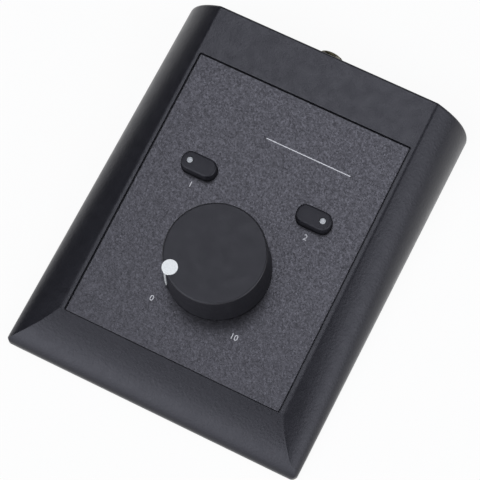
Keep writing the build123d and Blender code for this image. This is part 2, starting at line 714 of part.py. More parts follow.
NODES = {
    "upper_shell": upper_shell,
    "base_plate": base_plate,
    "case_screws": case_screws,
    "rubber_feet": rubber_feet,
    "faceplate": faceplate,
    "faceplate_film": faceplate_film,
    "volume_knob": volume_knob,
    "knob_insert": knob_insert,
    "knob_pointer": knob_pointer,
    "pot_shaft": pot_shaft,
    "pot_bushing": pot_bushing,
    "pot_body": pot_body,
    "pot_track": pot_track,
    "pot_pins": pot_pins,
    "pot_washer": pot_washer,
    "pot_nut": pot_nut,
    "main_board": main_board,
    "board_screws": board_screws,
    "board_header": board_header,
    "header_pins": header_pins,
    "socket_shell": socket_shell,
    "socket_gasket": socket_gasket,
    "socket_nut": socket_nut,
    "socket_insert": socket_insert,
    "socket_contacts": socket_contacts,
    "socket_board": socket_board,
}
BUTTON_NODES = {
    "button": button_cap,
    "button_lens": button_lens,
    "switch_body": switch_body,
    "switch_plunger": switch_plunger,
    "indicator": indicator,
}

if __name__ == "__main__":
    os.makedirs("parts", exist_ok=True)
    for name, make in NODES.items():
        save(name, make())
    for side, x in buttons():
        for name, make in BUTTON_NODES.items():
            save(f"{side}_{name}", make(x))
    print(f"origin to faceplate front {PLATE_Y:.3f}, length {LENGTH:.3f}")
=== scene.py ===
"""Dressed model of a desktop controller for studio monitors.

A low wedge housing carries an inset faceplate with one large volume knob and two lit buttons.
Every length in this file is in millimetres until a mesh is finished, and in metres after that.
The slope frame of the faceplate has x across, s up the slope and h out of the face.
"""

from __future__ import annotations

import json
import logging
import math
from collections.abc import Callable, Sequence
from dataclasses import dataclass, field
from enum import Enum

import bmesh
import bpy
from mathutils import Matrix, Vector

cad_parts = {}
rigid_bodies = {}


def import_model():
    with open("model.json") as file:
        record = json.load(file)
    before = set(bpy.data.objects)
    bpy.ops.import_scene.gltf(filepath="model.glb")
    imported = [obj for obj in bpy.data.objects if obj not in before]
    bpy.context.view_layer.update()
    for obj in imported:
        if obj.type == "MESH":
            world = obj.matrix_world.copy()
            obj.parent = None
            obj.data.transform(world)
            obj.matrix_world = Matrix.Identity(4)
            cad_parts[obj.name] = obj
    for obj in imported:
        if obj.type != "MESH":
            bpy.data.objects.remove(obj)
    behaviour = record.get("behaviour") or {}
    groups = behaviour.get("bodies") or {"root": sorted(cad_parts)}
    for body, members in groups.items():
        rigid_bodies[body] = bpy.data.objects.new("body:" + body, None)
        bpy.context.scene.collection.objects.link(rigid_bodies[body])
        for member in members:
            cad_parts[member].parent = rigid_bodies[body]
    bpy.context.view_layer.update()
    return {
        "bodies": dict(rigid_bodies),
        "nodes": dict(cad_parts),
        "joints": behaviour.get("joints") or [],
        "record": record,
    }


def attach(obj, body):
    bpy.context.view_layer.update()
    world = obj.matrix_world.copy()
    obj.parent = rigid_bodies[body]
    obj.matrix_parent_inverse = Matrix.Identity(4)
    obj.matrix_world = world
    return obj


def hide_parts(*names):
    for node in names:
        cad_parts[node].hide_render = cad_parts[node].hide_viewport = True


LOG = logging.getLogger("controller")
MM = 0.001
WELD_MM = 0.002
SLIVER_MM = 0.0005
TURNED_WELD = 0.001 * MM
SHARP_DEG = 32.0
NOISE = (0.3, 0.7)  # what fractal noise mostly keeps within
Outline = list[tuple[float, float]]
Points = list[tuple[float, float, float]]


class Side(Enum):
    """Left or right of the object, as the sign of x."""

    LEFT = -1
    RIGHT = 1


class Body(Enum):
    """The bodies that pieces ride on."""

    HOUSING = "housing"
    KNOB = "knob"
    LEFT_KEY = "left_key"
    RIGHT_KEY = "right_key"


# ---------------------------------------------------------------- node graphs
class Graph:
    """A node tree of any kind under construction."""

    def __init__(self, tree: bpy.types.NodeTree, prefix: str = "ShaderNode") -> None:
        """Start on a tree, emptied first.

        Args:
            tree: The tree.
            prefix: What stands before every type name that is asked for.
        """
        self.tree = tree
        self.prefix = prefix
        tree.nodes.clear()

    def join(self, source: bpy.types.NodeSocket, target: bpy.types.NodeSocket) -> None:
        """Link two sockets."""
        self.tree.links.new(source, target)

    def node(self, kind: str, **settings: object) -> bpy.types.Node:
        """Add a node.

        Args:
            kind: Its type name after the prefix.
            **settings: Attributes to set on it.

        Returns:
            The new node.
        """
        made = self.tree.nodes.new(self.prefix + kind)
        for key, value in settings.items():
            setattr(made, key, value)
        return made


# ---------------------------------------------------------------- materials
class Shader(Graph):
    """The nodes of one material."""

    def __init__(self, name: str) -> None:
        """Start an empty material.

        Args:
            name: The material's name.
        """
        self.material = bpy.data.materials.new(name)
        self.material.use_nodes = True
        super().__init__(self.material.node_tree)
        self.output = self.node("OutputMaterial")
        self.principled = self.node("BsdfPrincipled")
        self.join(self.principled.outputs[0], self.output.inputs[0])
        self.coords = self.node("TexCoord").outputs["Object"]

    def noise(self, size_mm: float, detail: float = 3.0, rough: float = 0.55) -> bpy.types.NodeSocket:
        """Fractal noise on object coordinates.

        Args:
            size_mm: Size of one blob.
            detail: Octaves.
            rough: Weight of the finer octaves.

        Returns:
            The value from 0 to 1.
        """
        made = self.node("TexNoise")
        made.inputs["Scale"].default_value = 1.0 / (size_mm * MM)
        made.inputs["Detail"].default_value = detail
        made.inputs["Roughness"].default_value = rough
        self.join(self.coords, made.inputs["Vector"])
        return made.outputs[0]

    def cells(self, size_mm: float, output: str = "Color") -> bpy.types.NodeSocket:
        """Voronoi cells on object coordinates.

        Args:
            size_mm: Size of one cell.
            output: Name of the output wanted.

        Returns:
            That output.
        """
        made = self.node("TexVoronoi")
        made.inputs["Scale"].default_value = 1.0 / (size_mm * MM)
        self.join(self.coords, made.inputs["Vector"])
        return made.outputs[output]

    def spread(self, value: bpy.types.NodeSocket, low: float, high: float,
               start: float = 0.0, end: float = 1.0) -> bpy.types.NodeSocket:
        """Map a value from one range to another.

        Args:
            value: What is mapped.
            low: Result at the start.
            high: Result at the end.
            start: Where the value's range starts.
            end: Where it ends.

        Returns:
            The mapped value.
        """
        made = self.node("MapRange")
        self.join(value, made.inputs["Value"])
        made.inputs["From Min"].default_value = start
        made.inputs["From Max"].default_value = end
        made.inputs["To Min"].default_value = low
        made.inputs["To Max"].default_value = high
        return made.outputs[0]

    def blend(self, amount: bpy.types.NodeSocket, low: Sequence[float],
              high: Sequence[float]) -> bpy.types.NodeSocket:
        """Mix two colours by a value.

        Args:
            amount: Share of the second colour.
            low: The first colour.
            high: The second colour.

        Returns:
            The mixed colour.
        """
        made = self.node("Mix", data_type="RGBA")
        self.join(amount, made.inputs[0])
        made.inputs[6].default_value = (*low, 1.0)
        made.inputs[7].default_value = (*high, 1.0)
        return made.outputs[2]

    def add(self, first: bpy.types.NodeSocket, second: bpy.types.NodeSocket,
            operation: str = "ADD") -> bpy.types.NodeSocket:
        """Combine two values with a math operation.

        Args:
            first: One value.
            second: The other value.
            operation: What is done with them.

        Returns:
            The result.
        """
        made = self.node("Math", operation=operation)
        self.join(first, made.inputs[0])
        self.join(second, made.inputs[1])
        return made.outputs[0]

    def bump(self, height: bpy.types.NodeSocket, depth_mm: float) -> None:
        """Bump the surface by a height value.

        Args:
            height: The value from 0 to 1.
            depth_mm: Depth of its full range.
        """
        made = self.node("Bump")
        made.inputs["Strength"].default_value = 1.0
        made.inputs["Distance"].default_value = depth_mm * MM
        self.join(height, made.inputs["Height"])
        self.join(made.outputs[0], self.principled.inputs["Normal"])

    def set(self, **values: float) -> None:
        """Set plain inputs of the shader, spaces in their names written as underscores."""
        for key, value in values.items():
            self.principled.inputs[key.replace("_", " ")].default_value = value


def shade(colour: Sequence[float], factor: float) -> tuple[float, float, float]:
    """A colour made lighter or darker."""
    return tuple(min(1.0, channel * factor) for channel in colour)


@dataclass(frozen=True)
class MouldedPlastic:
    """Injection-moulded plastic with a spark-eroded grain.

    Args:
        name: The material's name.
        colour: Its mean colour.
        roughness: Its mean roughness.
        grain_mm: Size of the grain.
        grain_depth_mm: Depth of the grain.
        mottle: Share by which the colour varies over a few millimetres.
        sheen: Tint of its reflections.
        gloss: Specular level.
        patch_mm: Size of the patches that vary.
        patch_share: Share of the patches in that, against the grain.
        pore_scale: Size of the pores in grains.
        pore_share: Depth of the pores in grain depths.
        swing: How far the roughness varies either way.
    """

    name: str
    colour: tuple[float, float, float]
    roughness: float = 0.55
    grain_mm: float = 0.35
    grain_depth_mm: float = 0.02
    mottle: float = 0.12
    sheen: tuple[float, float, float] = (0.92, 0.92, 1.0)
    gloss: float = 0.5
    patch_mm: float = 4.0
    patch_share: float = 0.6
    pore_scale: float = 1.6
    pore_share: float = 0.5
    swing: float = 0.04

    def make(self) -> bpy.types.Material:
        """Build the material.

        Returns:
            The material.
        """
        shader = Shader(self.name)
        patches = shader.noise(self.patch_mm, 4.0)
        grain = shader.noise(self.grain_mm, 2.0)
        pores = shader.cells(self.grain_mm * self.pore_scale, "Distance")
        variation = shader.add(shader.spread(patches, 0.0, self.patch_share, *NOISE),
                               shader.spread(grain, 0.0, 1 - self.patch_share, *NOISE))
        dark, pale = shade(self.colour, 1 - self.mottle), shade(self.colour, 1 + self.mottle)
        shader.join(shader.blend(variation, dark, pale), shader.principled.inputs["Base Color"])
        rough = shader.spread(patches, self.roughness - self.swing, self.roughness + self.swing, *NOISE)
        shader.join(rough, shader.principled.inputs["Roughness"])
        shader.set(Specular_IOR_Level=self.gloss)
        shader.principled.inputs["Specular Tint"].default_value = (*self.sheen, 1.0)
        shader.bump(shader.add(grain, shader.spread(pores, 0.0, self.pore_share)), self.grain_depth_mm)
        return shader.material


@dataclass(frozen=True)
class SpecklePaint:
    """Dark metallic paint whose fine flakes show as lighter and bluer specks.

    Args:
        name: The material's name.
        colour: Colour between the flakes.
        fleck: Colour of the brightest flakes.
        fleck_mm: Size of one flake.
        roughness: Mean roughness.
        sparkle: How far single flakes brighten the colour.
        cloud: How far clouds of them darken and brighten it.
        cloud_scale: Size of a cloud in flakes.
        swing: How far the roughness varies either way.
        tilt: Height of single flakes, in depths of the fine relief.
        depth_mm: Depth of the fine relief.
    """

    name: str
    colour: tuple[float, float, float]
    fleck: tuple[float, float, float]
    fleck_mm: float = 0.4
    roughness: float = 0.5
    sparkle: float = 0.80
    cloud: tuple[float, float] = (-0.05, 0.22)
    cloud_scale: float = 3.0
    swing: float = 0.08
    tilt: float = 0.3
    depth_mm: float = 0.012

    def make(self) -> bpy.types.Material:
        """Build the material.

        Returns:
            The material.
        """
        shader = Shader(self.name)
        cells = shader.cells(self.fleck_mm)
        split = shader.node("SeparateColor")
        shader.join(cells, split.inputs[0])
        clouds = shader.noise(self.fleck_mm * self.cloud_scale, 3.0, 0.7)
        level = shader.add(shader.spread(split.outputs[0], 0.0, self.sparkle),
                           shader.spread(clouds, *self.cloud, *NOISE))
        colour = shader.blend(level, self.colour, self.fleck)
        shader.join(colour, shader.principled.inputs["Base Color"])
        rough = shader.spread(split.outputs[1], self.roughness - self.swing, self.roughness + self.swing)
        shader.join(rough, shader.principled.inputs["Roughness"])
        shader.set(Metallic=1.0)
        fine = shader.noise(self.fleck_mm * 0.8, 2.0)
        shader.bump(shader.add(fine, shader.spread(split.outputs[2], 0.0, self.tilt)), self.depth_mm)
        return shader.material


@dataclass(frozen=True)
class TurnedMetal:
    """Bare or plated metal with fine tool marks and dulled patches.

    Args:
        name: The material's name.
        colour: Its colour.
        tarnish: Colour of the dulled patches.
        roughness: Mean roughness.
        tarnish_share: How much of it is dulled.
        patch_mm: Size of the dulled patches.
        fade: How softly they end.
        swing: How much rougher they are.
        mark_mm: Size of the tool marks.
        mark_depth_mm: Depth of the tool marks.
    """

    name: str
    colour: tuple[float, float, float]
    tarnish: tuple[float, float, float]
    roughness: float = 0.32
    tarnish_share: float = 0.4
    patch_mm: float = 1.3
    fade: float = 0.16
    swing: float = 0.22
    mark_mm: float = 0.12
    mark_depth_mm: float = 0.004

    def make(self) -> bpy.types.Material:
        """Build the material.

        Returns:
            The material.
        """
        shader = Shader(self.name)
        patches = shader.noise(self.patch_mm, 4.0, 0.65)
        threshold = 0.62 - 0.4 * self.tarnish_share
        dull = shader.spread(patches, 0.0, 1.0, threshold, threshold + self.fade)
        shader.join(shader.blend(dull, self.colour, self.tarnish), shader.principled.inputs["Base Color"])
        rough = shader.spread(patches, self.roughness, self.roughness + self.swing, 0.35, 0.7)
        shader.join(rough, shader.principled.inputs["Roughness"])
        shader.set(Metallic=1.0)
        shader.bump(shader.noise(self.mark_mm, 2.0), self.mark_depth_mm)
        return shader.material


@dataclass(frozen=True)
class SoftRubber:
    """Matt rubber with a dusty bloom.

    Args:
        name: The material's name.
        colour: Its colour.
        bloom_mm: Size of the dusty patches.
        dust: How many times lighter they are.
        roughness: Roughness of the clean and of the dusty rubber.
        grain_mm: Size of the grain.
        grain_depth_mm: Depth of the grain.
    """

    name: str
    colour: tuple[float, float, float]
    bloom_mm: float = 1.5
    dust: float = 2.2
    roughness: tuple[float, float] = (0.75, 0.92)
    grain_mm: float = 0.25
    grain_depth_mm: float = 0.02

    def make(self) -> bpy.types.Material:
        """Build the material.

        Returns:
            The material.
        """
        shader = Shader(self.name)
        bloom = shader.noise(self.bloom_mm, 5.0)
        share = shader.spread(bloom, 0.0, 1.0, 0.4, 0.75)
        dusty = shader.blend(share, self.colour, shade(self.colour, self.dust))
        shader.join(dusty, shader.principled.inputs["Base Color"])
        shader.join(shader.spread(bloom, *self.roughness, *NOISE), shader.principled.inputs["Roughness"])
        shader.bump(shader.noise(self.grain_mm, 3.0), self.grain_depth_mm)
        return shader.material


@dataclass(frozen=True)
class ClearLens:
    """Frosted light pipe, a little uneven in its tone.

    Args:
        name: The material's name.
        colour: Its colour.
        roughness: Roughness of its clearest and of its most frosted spots.
        frost_mm: Size of the frosted spots.
        frost_depth_mm: Their depth.
    """

    name: str
    colour: tuple[float, float, float]
    roughness: tuple[float, float] = (0.18, 0.34)
    frost_mm: float = 0.5
    frost_depth_mm: float = 0.01

    def make(self) -> bpy.types.Material:
        """Build the material.

        Returns:
            The material.
        """
        shader = Shader(self.name)
        frost = shader.noise(self.frost_mm, 3.0)
        shader.join(shader.blend(frost, shade(self.colour, 0.8), self.colour),
                    shader.principled.inputs["Base Color"])
        shader.join(shader.spread(frost, *self.roughness, *NOISE), shader.principled.inputs["Roughness"])
        shader.set(IOR=1.49, Transmission_Weight=0.15, Subsurface_Weight=0.3, Coat_Weight=0.4)
        shader.principled.inputs["Subsurface Radius"].default_value = (0.0006, 0.0006, 0.0006)
        shader.principled.inputs["Subsurface Scale"].default_value = 1.0
        shader.bump(frost, self.frost_depth_mm)
        return shader.material


@dataclass(frozen=True)
class PrintedInk:
    """Thin screen-printed ink, slightly uneven.

    Args:
        name: The material's name.
        colour: Its colour.
        roughness: Roughness where it covers least.
        swing: How much rougher it is where it covers most.
        cover_mm: Size of its uneven spots.
        cover_depth_mm: Their depth.
    """

    name: str
    colour: tuple[float, float, float]
    roughness: float = 0.40
    swing: float = 0.15
    cover_mm: float = 0.5
    cover_depth_mm: float = 0.004

    def make(self) -> bpy.types.Material:
        """Build the material.

        Returns:
            The material.
        """
        shader = Shader(self.name)
        cover = shader.noise(self.cover_mm, 4.0)
        inked = shader.blend(shader.spread(cover, 0.0, 1.0, 0.3, 0.6), shade(self.colour, 0.86), self.colour)
        shader.join(inked, shader.principled.inputs["Base Color"])
        rough = shader.spread(cover, self.roughness, self.roughness + self.swing)
        shader.join(rough, shader.principled.inputs["Roughness"])
        shader.bump(cover, self.cover_depth_mm)
        return shader.material


@dataclass(frozen=True)
class BoardMask:
    """Solder mask over copper tracks.

    Args:
        name: The material's name.
        colour: Colour of the mask.
        track: Colour of the mask over copper.
        track_scale: Scale of the pattern of tracks.
        track_w: Width of a track in that pattern.
        track_t_mm: Thickness of a track.
    """

    name: str
    colour: tuple[float, float, float]
    track: tuple[float, float, float]
    track_scale: float = 130.0
    track_w: float = 0.03
    track_t_mm: float = 0.02

    def make(self) -> bpy.types.Material:
        """Build the material.

        Returns:
            The material.
        """
        shader = Shader(self.name)
        bricks = shader.node("TexBrick")
        bricks.inputs["Scale"].default_value = self.track_scale
        bricks.inputs["Mortar Size"].default_value = self.track_w
        for part, grey in (("Color1", 0.0), ("Color2", 0.35), ("Mortar", 1.0)):
            bricks.inputs[part].default_value = (grey, grey, grey, 1.0)
        shader.join(shader.coords, bricks.inputs["Vector"])
        masked = shader.blend(bricks.outputs[0], self.colour, self.track)
        shader.join(masked, shader.principled.inputs["Base Color"])
        shader.join(shader.spread(shader.noise(1.0), 0.25, 0.4), shader.principled.inputs["Roughness"])
        shader.bump(bricks.outputs[0], self.track_t_mm)
        return shader.material


HOUSING_BLACK = MouldedPlastic("housing_black", (0.009, 0.009, 0.012), 0.34, 0.8, 0.055)
PANEL_PAINT = SpecklePaint("panel_paint", (0.049, 0.0485, 0.054), (0.082, 0.081, 0.092), 0.55, 0.36)
KNOB_BLACK = MouldedPlastic("knob_black", (0.008, 0.008, 0.010), 0.41, 0.20, 0.006, 0.06, gloss=0.45)
BUTTON_BLACK = MouldedPlastic("button_black", (0.009, 0.009, 0.012), 0.48, 0.18, 0.005, 0.06, gloss=0.44)
PART_BLACK = MouldedPlastic("part_black", (0.020, 0.020, 0.021), 0.45, 0.25, 0.008)
TRACK_CARBON = MouldedPlastic("track_carbon", (0.014, 0.014, 0.014), 0.7, 0.15, 0.006)
FILM = MouldedPlastic("film", (0.62, 0.60, 0.54), 0.4, 1.2, 0.01)
POINTER_WHITE = PrintedInk("pointer_white", (0.79, 0.81, 0.80), 0.33)
PRINT_WHITE = PrintedInk("print_white", (0.62, 0.62, 0.64), 0.45)
INDICATOR_WHITE = PrintedInk("indicator_white", (0.85, 0.82, 0.55), 0.25)
LENS_CLEAR = ClearLens("lens_clear", (0.50, 0.52, 0.54))
BASE_STEEL = MouldedPlastic("base_steel", (0.026, 0.026, 0.028), 0.5, 0.45, 0.02)
SCREW_STEEL = TurnedMetal("screw_steel", (0.52, 0.52, 0.53), (0.25, 0.24, 0.23), 0.3, 0.2)
SHAFT_STEEL = TurnedMetal("shaft_steel", (0.6, 0.6, 0.61), (0.4, 0.4, 0.4), 0.22, 0.15)
INSERT_BRASS = TurnedMetal("insert_brass", (0.72, 0.53, 0.24), (0.38, 0.27, 0.12), 0.3, 0.3)
SOCKET_BRASS = TurnedMetal("socket_brass", (0.30, 0.28, 0.23), (0.09, 0.08, 0.05), 0.36, 0.7)
CONTACT_GOLD = TurnedMetal("contact_gold", (0.83, 0.62, 0.25), (0.6, 0.43, 0.16), 0.2, 0.1)
BOARD_GREEN = BoardMask("board_green", (0.012, 0.090, 0.040), (0.030, 0.17, 0.075))
FOOT_RUBBER = SoftRubber("foot_rubber", (0.016, 0.016, 0.017))

Finish = MouldedPlastic | SpecklePaint | TurnedMetal | SoftRubber | ClearLens | PrintedInk | BoardMask


class Palette:
    """Materials made once each and handed out by finish."""

    def __init__(self) -> None:
        """Start with no material made."""
        self.made: dict[str, bpy.types.Material] = {}

    def get(self, finish: Finish) -> bpy.types.Material:
        """The material of a finish, made on its first use.

        Args:
            finish: The finish.

        Returns:
            Its material.
        """
        if finish.name not in self.made:
            self.made[finish.name] = finish.make()
        return self.made[finish.name]


PALETTE = Palette()


# ---------------------------------------------------------------- outlines and meshes
def rounded_rectangle(width: float, length: float, radius: float, steps: int = 6) -> Outline:
    """Outline of a rectangle with round corners, counter-clockwise.

    Args:
        width: Size along x.
        length: Size along y.
        radius: Corner radius.
        steps: Segments in each corner.

    Returns:
        Its points.
    """
    points = []
    for corner in range(4):
        centre_x = (width / 2 - radius) * (1 if corner in (0, 3) else -1)
        centre_y = (length / 2 - radius) * (1 if corner in (0, 1) else -1)
        for step in range(steps + 1):
            angle = math.radians(90 * (corner + step / steps))
            points.append((centre_x + radius * math.cos(angle), centre_y + radius * math.sin(angle)))
    return points


def circle(radius: float, steps: int = 48) -> Outline:
    """Outline of a circle, counter-clockwise."""
    return [(radius * math.cos(2 * math.pi * i / steps), radius * math.sin(2 * math.pi * i / steps))
            for i in range(steps)]


def arc(centre: tuple[float, float], radius: float, start_deg: float, end_deg: float,
        steps: int = 6) -> Outline:
    """Points of an arc, both ends included."""
    angles = [math.radians(start_deg + (end_deg - start_deg) * i / steps) for i in range(steps + 1)]
    return [(centre[0] + radius * math.cos(a), centre[1] + radius * math.sin(a)) for a in angles]


def in_metres(place: Matrix) -> Matrix:
    """A place in millimetres, for a mesh that is in metres."""
    return Matrix.Scale(MM, 4) @ place @ Matrix.Scale(1 / MM, 4)


def link_new(name: str, data: bpy.types.ID) -> bpy.types.Object:
    """Make an object and link it to the scene.

    Args:
        name: Its name.
        data: Its mesh, curve or camera.

    Returns:
        The object.
    """
    made = bpy.data.objects.new(name, data)
    bpy.context.scene.collection.objects.link(made)
    return made


class Sketch:
    """A mesh drawn in millimetres that ends as an object in metres."""

    def __init__(self) -> None:
        """Start an empty mesh."""
        self.mesh = bmesh.new()

    def row(self, points: Points) -> list[bmesh.types.BMVert]:
        """Add a row of vertices."""
        return [self.mesh.verts.new(point) for point in points]

    def skin(self, rows: Sequence[list[bmesh.types.BMVert]], closed: bool = False) -> None:
        """Join rows of equal length with quads.

        Args:
            rows: The rows in order.
            closed: Whether each row's end meets its start.
        """
        for first, second in zip(rows, rows[1:]):
            count = len(first)
            for i in range(count if closed else count - 1):
                j = (i + 1) % count
                self.mesh.faces.new((first[i], first[j], second[j], second[i]))

    def grid(self, rows: Sequence[Points]) -> None:
        """Add rows of points and the quads between them."""
        self.skin([self.row(points) for points in rows])

    def loft(self, sections: Sequence[Points]) -> None:
        """Add a closed solid through sections.

        Args:
            sections: Points of each section, all of the same number.
        """
        rows = [self.row(points) for points in sections]
        self.skin(rows, closed=True)
        self.mesh.faces.new(rows[0][::-1])
        self.mesh.faces.new(rows[-1])

    def stack(self, shape: Callable[[float], Outline], levels: Outline) -> None:
        """Add a closed solid of outlines above each other.

        Args:
            shape: Gives the outline for a growth.
            levels: Height and growth of each outline, from the bottom up.
        """
        self.loft([[(x, y, height) for x, y in shape(grow)] for height, grow in levels])

    def weld(self) -> None:
        """Merge vertices that meet."""
        bmesh.ops.remove_doubles(self.mesh, verts=self.mesh.verts, dist=WELD_MM)

    def finish(self, name: str, place: Matrix | None = None) -> bpy.types.Object:
        """Weld the mesh and make it an object.

        Args:
            name: Name of the object.
            place: Where it goes, in millimetres.

        Returns:
            The object, linked to the scene.
        """
        self.weld()
        bmesh.ops.dissolve_degenerate(self.mesh, edges=self.mesh.edges, dist=SLIVER_MM)
        bmesh.ops.recalc_face_normals(self.mesh, faces=self.mesh.faces)
        self.mesh.transform(Matrix.Scale(MM, 4) @ (place or Matrix.Identity(4)))
        mesh = bpy.data.meshes.new(name)
        self.mesh.to_mesh(mesh)
        self.mesh.free()
        made = link_new(name, mesh)
        smooth_shade(made)
        return made


def prism(name: str, outline: Outline, place: Matrix, low: float, high: float) -> bpy.types.Object:
    """Straight solid on an outline.

    Args:
        name: The object's name.
        outline: Its section.
        place: Where the section's frame is.
        low: Height of its lower end there.
        high: Height of its upper end.

    Returns:
        The object.
    """
    sketch = Sketch()
    sketch.stack(lambda _: outline, [(low, 0.0), (high, 0.0)])
    return sketch.finish(name, place)


def smooth_shade(piece: bpy.types.Object, sharp_deg: float = SHARP_DEG) -> None:
    """Shade a piece smooth, with its sharper edges kept crisp.

    Args:
        piece: The piece.
        sharp_deg: Edges that turn more than this stay sharp.
    """
    mesh = bmesh.new()
    mesh.from_mesh(piece.data)
    for face in mesh.faces:
        face.smooth = True
    for edge in mesh.edges:
        edge.smooth = len(edge.link_faces) == 2 and edge.calc_face_angle(0.0) < math.radians(sharp_deg)
    mesh.to_mesh(piece.data)
    mesh.free()


def bake_modifiers(piece: bpy.types.Object) -> None:
    """Replace a piece's mesh by what its modifiers give.

    Args:
        piece: The piece.
    """
    graph = bpy.context.evaluated_depsgraph_get()
    mesh = bpy.data.meshes.new_from_object(piece.evaluated_get(graph))
    piece.modifiers.clear()
    piece.data = mesh
    mesh.name = piece.name


def carve(piece: bpy.types.Object, cutters: Sequence[bpy.types.Object], sharp_deg: float = SHARP_DEG) -> None:
    """Cut solids out of a piece and remove them.

    Args:
        piece: What is cut.
        cutters: The closed solids.
        sharp_deg: Edges that turn more than this stay sharp.
    """
    for cutter in cutters:
        cut = piece.modifiers.new(cutter.name, "BOOLEAN")
        cut.operation = "DIFFERENCE"
        cut.solver = "EXACT"
        cut.object = cutter
    bake_modifiers(piece)
    for cutter in cutters:
        bpy.data.objects.remove(cutter)
    smooth_shade(piece, sharp_deg)


def weigh_normals(piece: bpy.types.Object) -> None:
    """Let large flat faces keep their own normal.

    Args:
        piece: The piece.
    """
    weighing = piece.modifiers.new("weigh", "WEIGHTED_NORMAL")
    weighing.keep_sharp = True
    weighing.weight = 60
    bake_modifiers(piece)


def dress(piece: bpy.types.Object, finish: Finish, body: Body, slot: str, *nodes: str) -> bpy.types.Object:
    """Give a piece its finish, its body and the nodes that it stands for.

    Args:
        piece: The piece.
        finish: Its finish.
        body: The body that it rides on.
        slot: The record's material slot; not used.
        *nodes: Nodes that it replaces.

    Returns:
        The piece.
    """
    if not piece.data.materials:
        piece.data.materials.append(PALETTE.get(finish))
    if nodes:
        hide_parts(*nodes)
    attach(piece, body.value)
    LOG.info("%s: %d faces on %s", piece.name, len(piece.data.polygons), body.value)
    return piece


# ---------------------------------------------------------------- node-built pieces
class NodeTree(Graph):
    """A geometry node tree with named inputs, built node by node."""

    def __init__(self, name: str) -> None:
        """Start a tree with a geometry input and output.

        Args:
            name: The tree's name.
        """
        super().__init__(bpy.data.node_groups.new(name, "GeometryNodeTree"), "")
        self.tree.is_modifier = True
        self.face = self.tree.interface
        self.face.new_socket("Geometry", in_out="INPUT", socket_type="NodeSocketGeometry")
        self.face.new_socket("Geometry", in_out="OUTPUT", socket_type="NodeSocketGeometry")
        self.entry = self.tree.nodes.new("NodeGroupInput")
        self.exit = self.tree.nodes.new("NodeGroupOutput")

    def want(self, name: str, kind: str) -> None:
        """Add a named input of a socket kind, such as Int or Material."""
        self.face.new_socket(name, in_out="INPUT", socket_type="NodeSocket" + kind)

    def math(self, operation: str, first: object, second: object) -> bpy.types.NodeSocket:
        """A math node of two sockets or numbers.

        Args:
            operation: What is done with them.
            first: One socket or number.
            second: The other one.

        Returns:
            The result.
        """
        made = self.node("ShaderNodeMath", operation=operation)
        for i, value in enumerate((first, second)):
            if isinstance(value, bpy.types.NodeSocket):
                self.join(value, made.inputs[i])
            else:
                made.inputs[i].default_value = value
        return made.outputs[0]

    def close(self, geometry: bpy.types.NodeSocket) -> None:
        """End the tree with real geometry in its material.

        Args:
            geometry: What the tree has made.
        """
        real = self.node("GeometryNodeRealizeInstances")
        paint = self.node("GeometryNodeSetMaterial")
        self.join(geometry, real.inputs[0])
        self.join(real.outputs[0], paint.inputs["Geometry"])
        self.join(self.entry.outputs["Material"], paint.inputs["Material"])
        self.join(paint.outputs[0], self.exit.inputs[0])

    def run(self, piece: bpy.types.Object, **values: object) -> None:
        """Apply the tree to a piece, then bake the result into its mesh.

        Args:
            piece: The object whose mesh goes in.
            **values: Input values by name, spaces written as underscores.
        """
        modifier = piece.modifiers.new(self.tree.name, "NODES")
        modifier.node_group = self.tree
        names = {item.name: item.identifier for item in self.face.items_tree if item.in_out == "INPUT"}
        for key, value in values.items():
            modifier[names[key.replace("_", " ")]] = value
        bake_modifiers(piece)


def lathe_tree() -> NodeTree:
    """Tree that turns a chain of profile points, x out and z up, into a solid of revolution.

    Returns:
        The tree.
    """
    tree = NodeTree("turned")
    tree.want("Segments", "Int")
    tree.want("Steps", "Int")
    tree.want("Material", "Material")
    segments = tree.entry.outputs["Segments"]
    steps = tree.entry.outputs["Steps"]
    grid = tree.node("GeometryNodeMeshGrid")
    tree.join(tree.math("ADD", segments, 1.0), grid.inputs["Vertices X"])
    tree.join(steps, grid.inputs["Vertices Y"])
    index = tree.node("GeometryNodeInputIndex").outputs[0]
    column = tree.math("FLOOR", tree.math("DIVIDE", tree.math("ADD", index, 0.5), steps), 0.0)
    along = tree.math("SUBTRACT", index, tree.math("MULTIPLY", column, steps))
    sample = tree.node("GeometryNodeSampleIndex", data_type="FLOAT_VECTOR")
    tree.join(tree.entry.outputs[0], sample.inputs["Geometry"])
    tree.join(tree.node("GeometryNodeInputPosition").outputs[0], sample.inputs["Value"])
    tree.join(along, sample.inputs["Index"])
    split = tree.node("ShaderNodeSeparateXYZ")
    tree.join(sample.outputs[0], split.inputs[0])
    angle = tree.math("MULTIPLY", tree.math("DIVIDE", column, segments), 2 * math.pi)
    turned = tree.node("ShaderNodeCombineXYZ")
    tree.join(tree.math("MULTIPLY", split.outputs[0], tree.math("COSINE", angle, 0.0)), turned.inputs[0])
    tree.join(tree.math("MULTIPLY", split.outputs[0], tree.math("SINE", angle, 0.0)), turned.inputs[1])
    tree.join(split.outputs[2], turned.inputs[2])
    move = tree.node("GeometryNodeSetPosition")
    tree.join(grid.outputs[0], move.inputs["Geometry"])
    tree.join(turned.outputs[0], move.inputs["Position"])
    weld = tree.node("GeometryNodeMergeByDistance")
    weld.inputs["Distance"].default_value = TURNED_WELD
    tree.join(move.outputs[0], weld.inputs["Geometry"])
    tree.close(weld.outputs[0])
    return tree


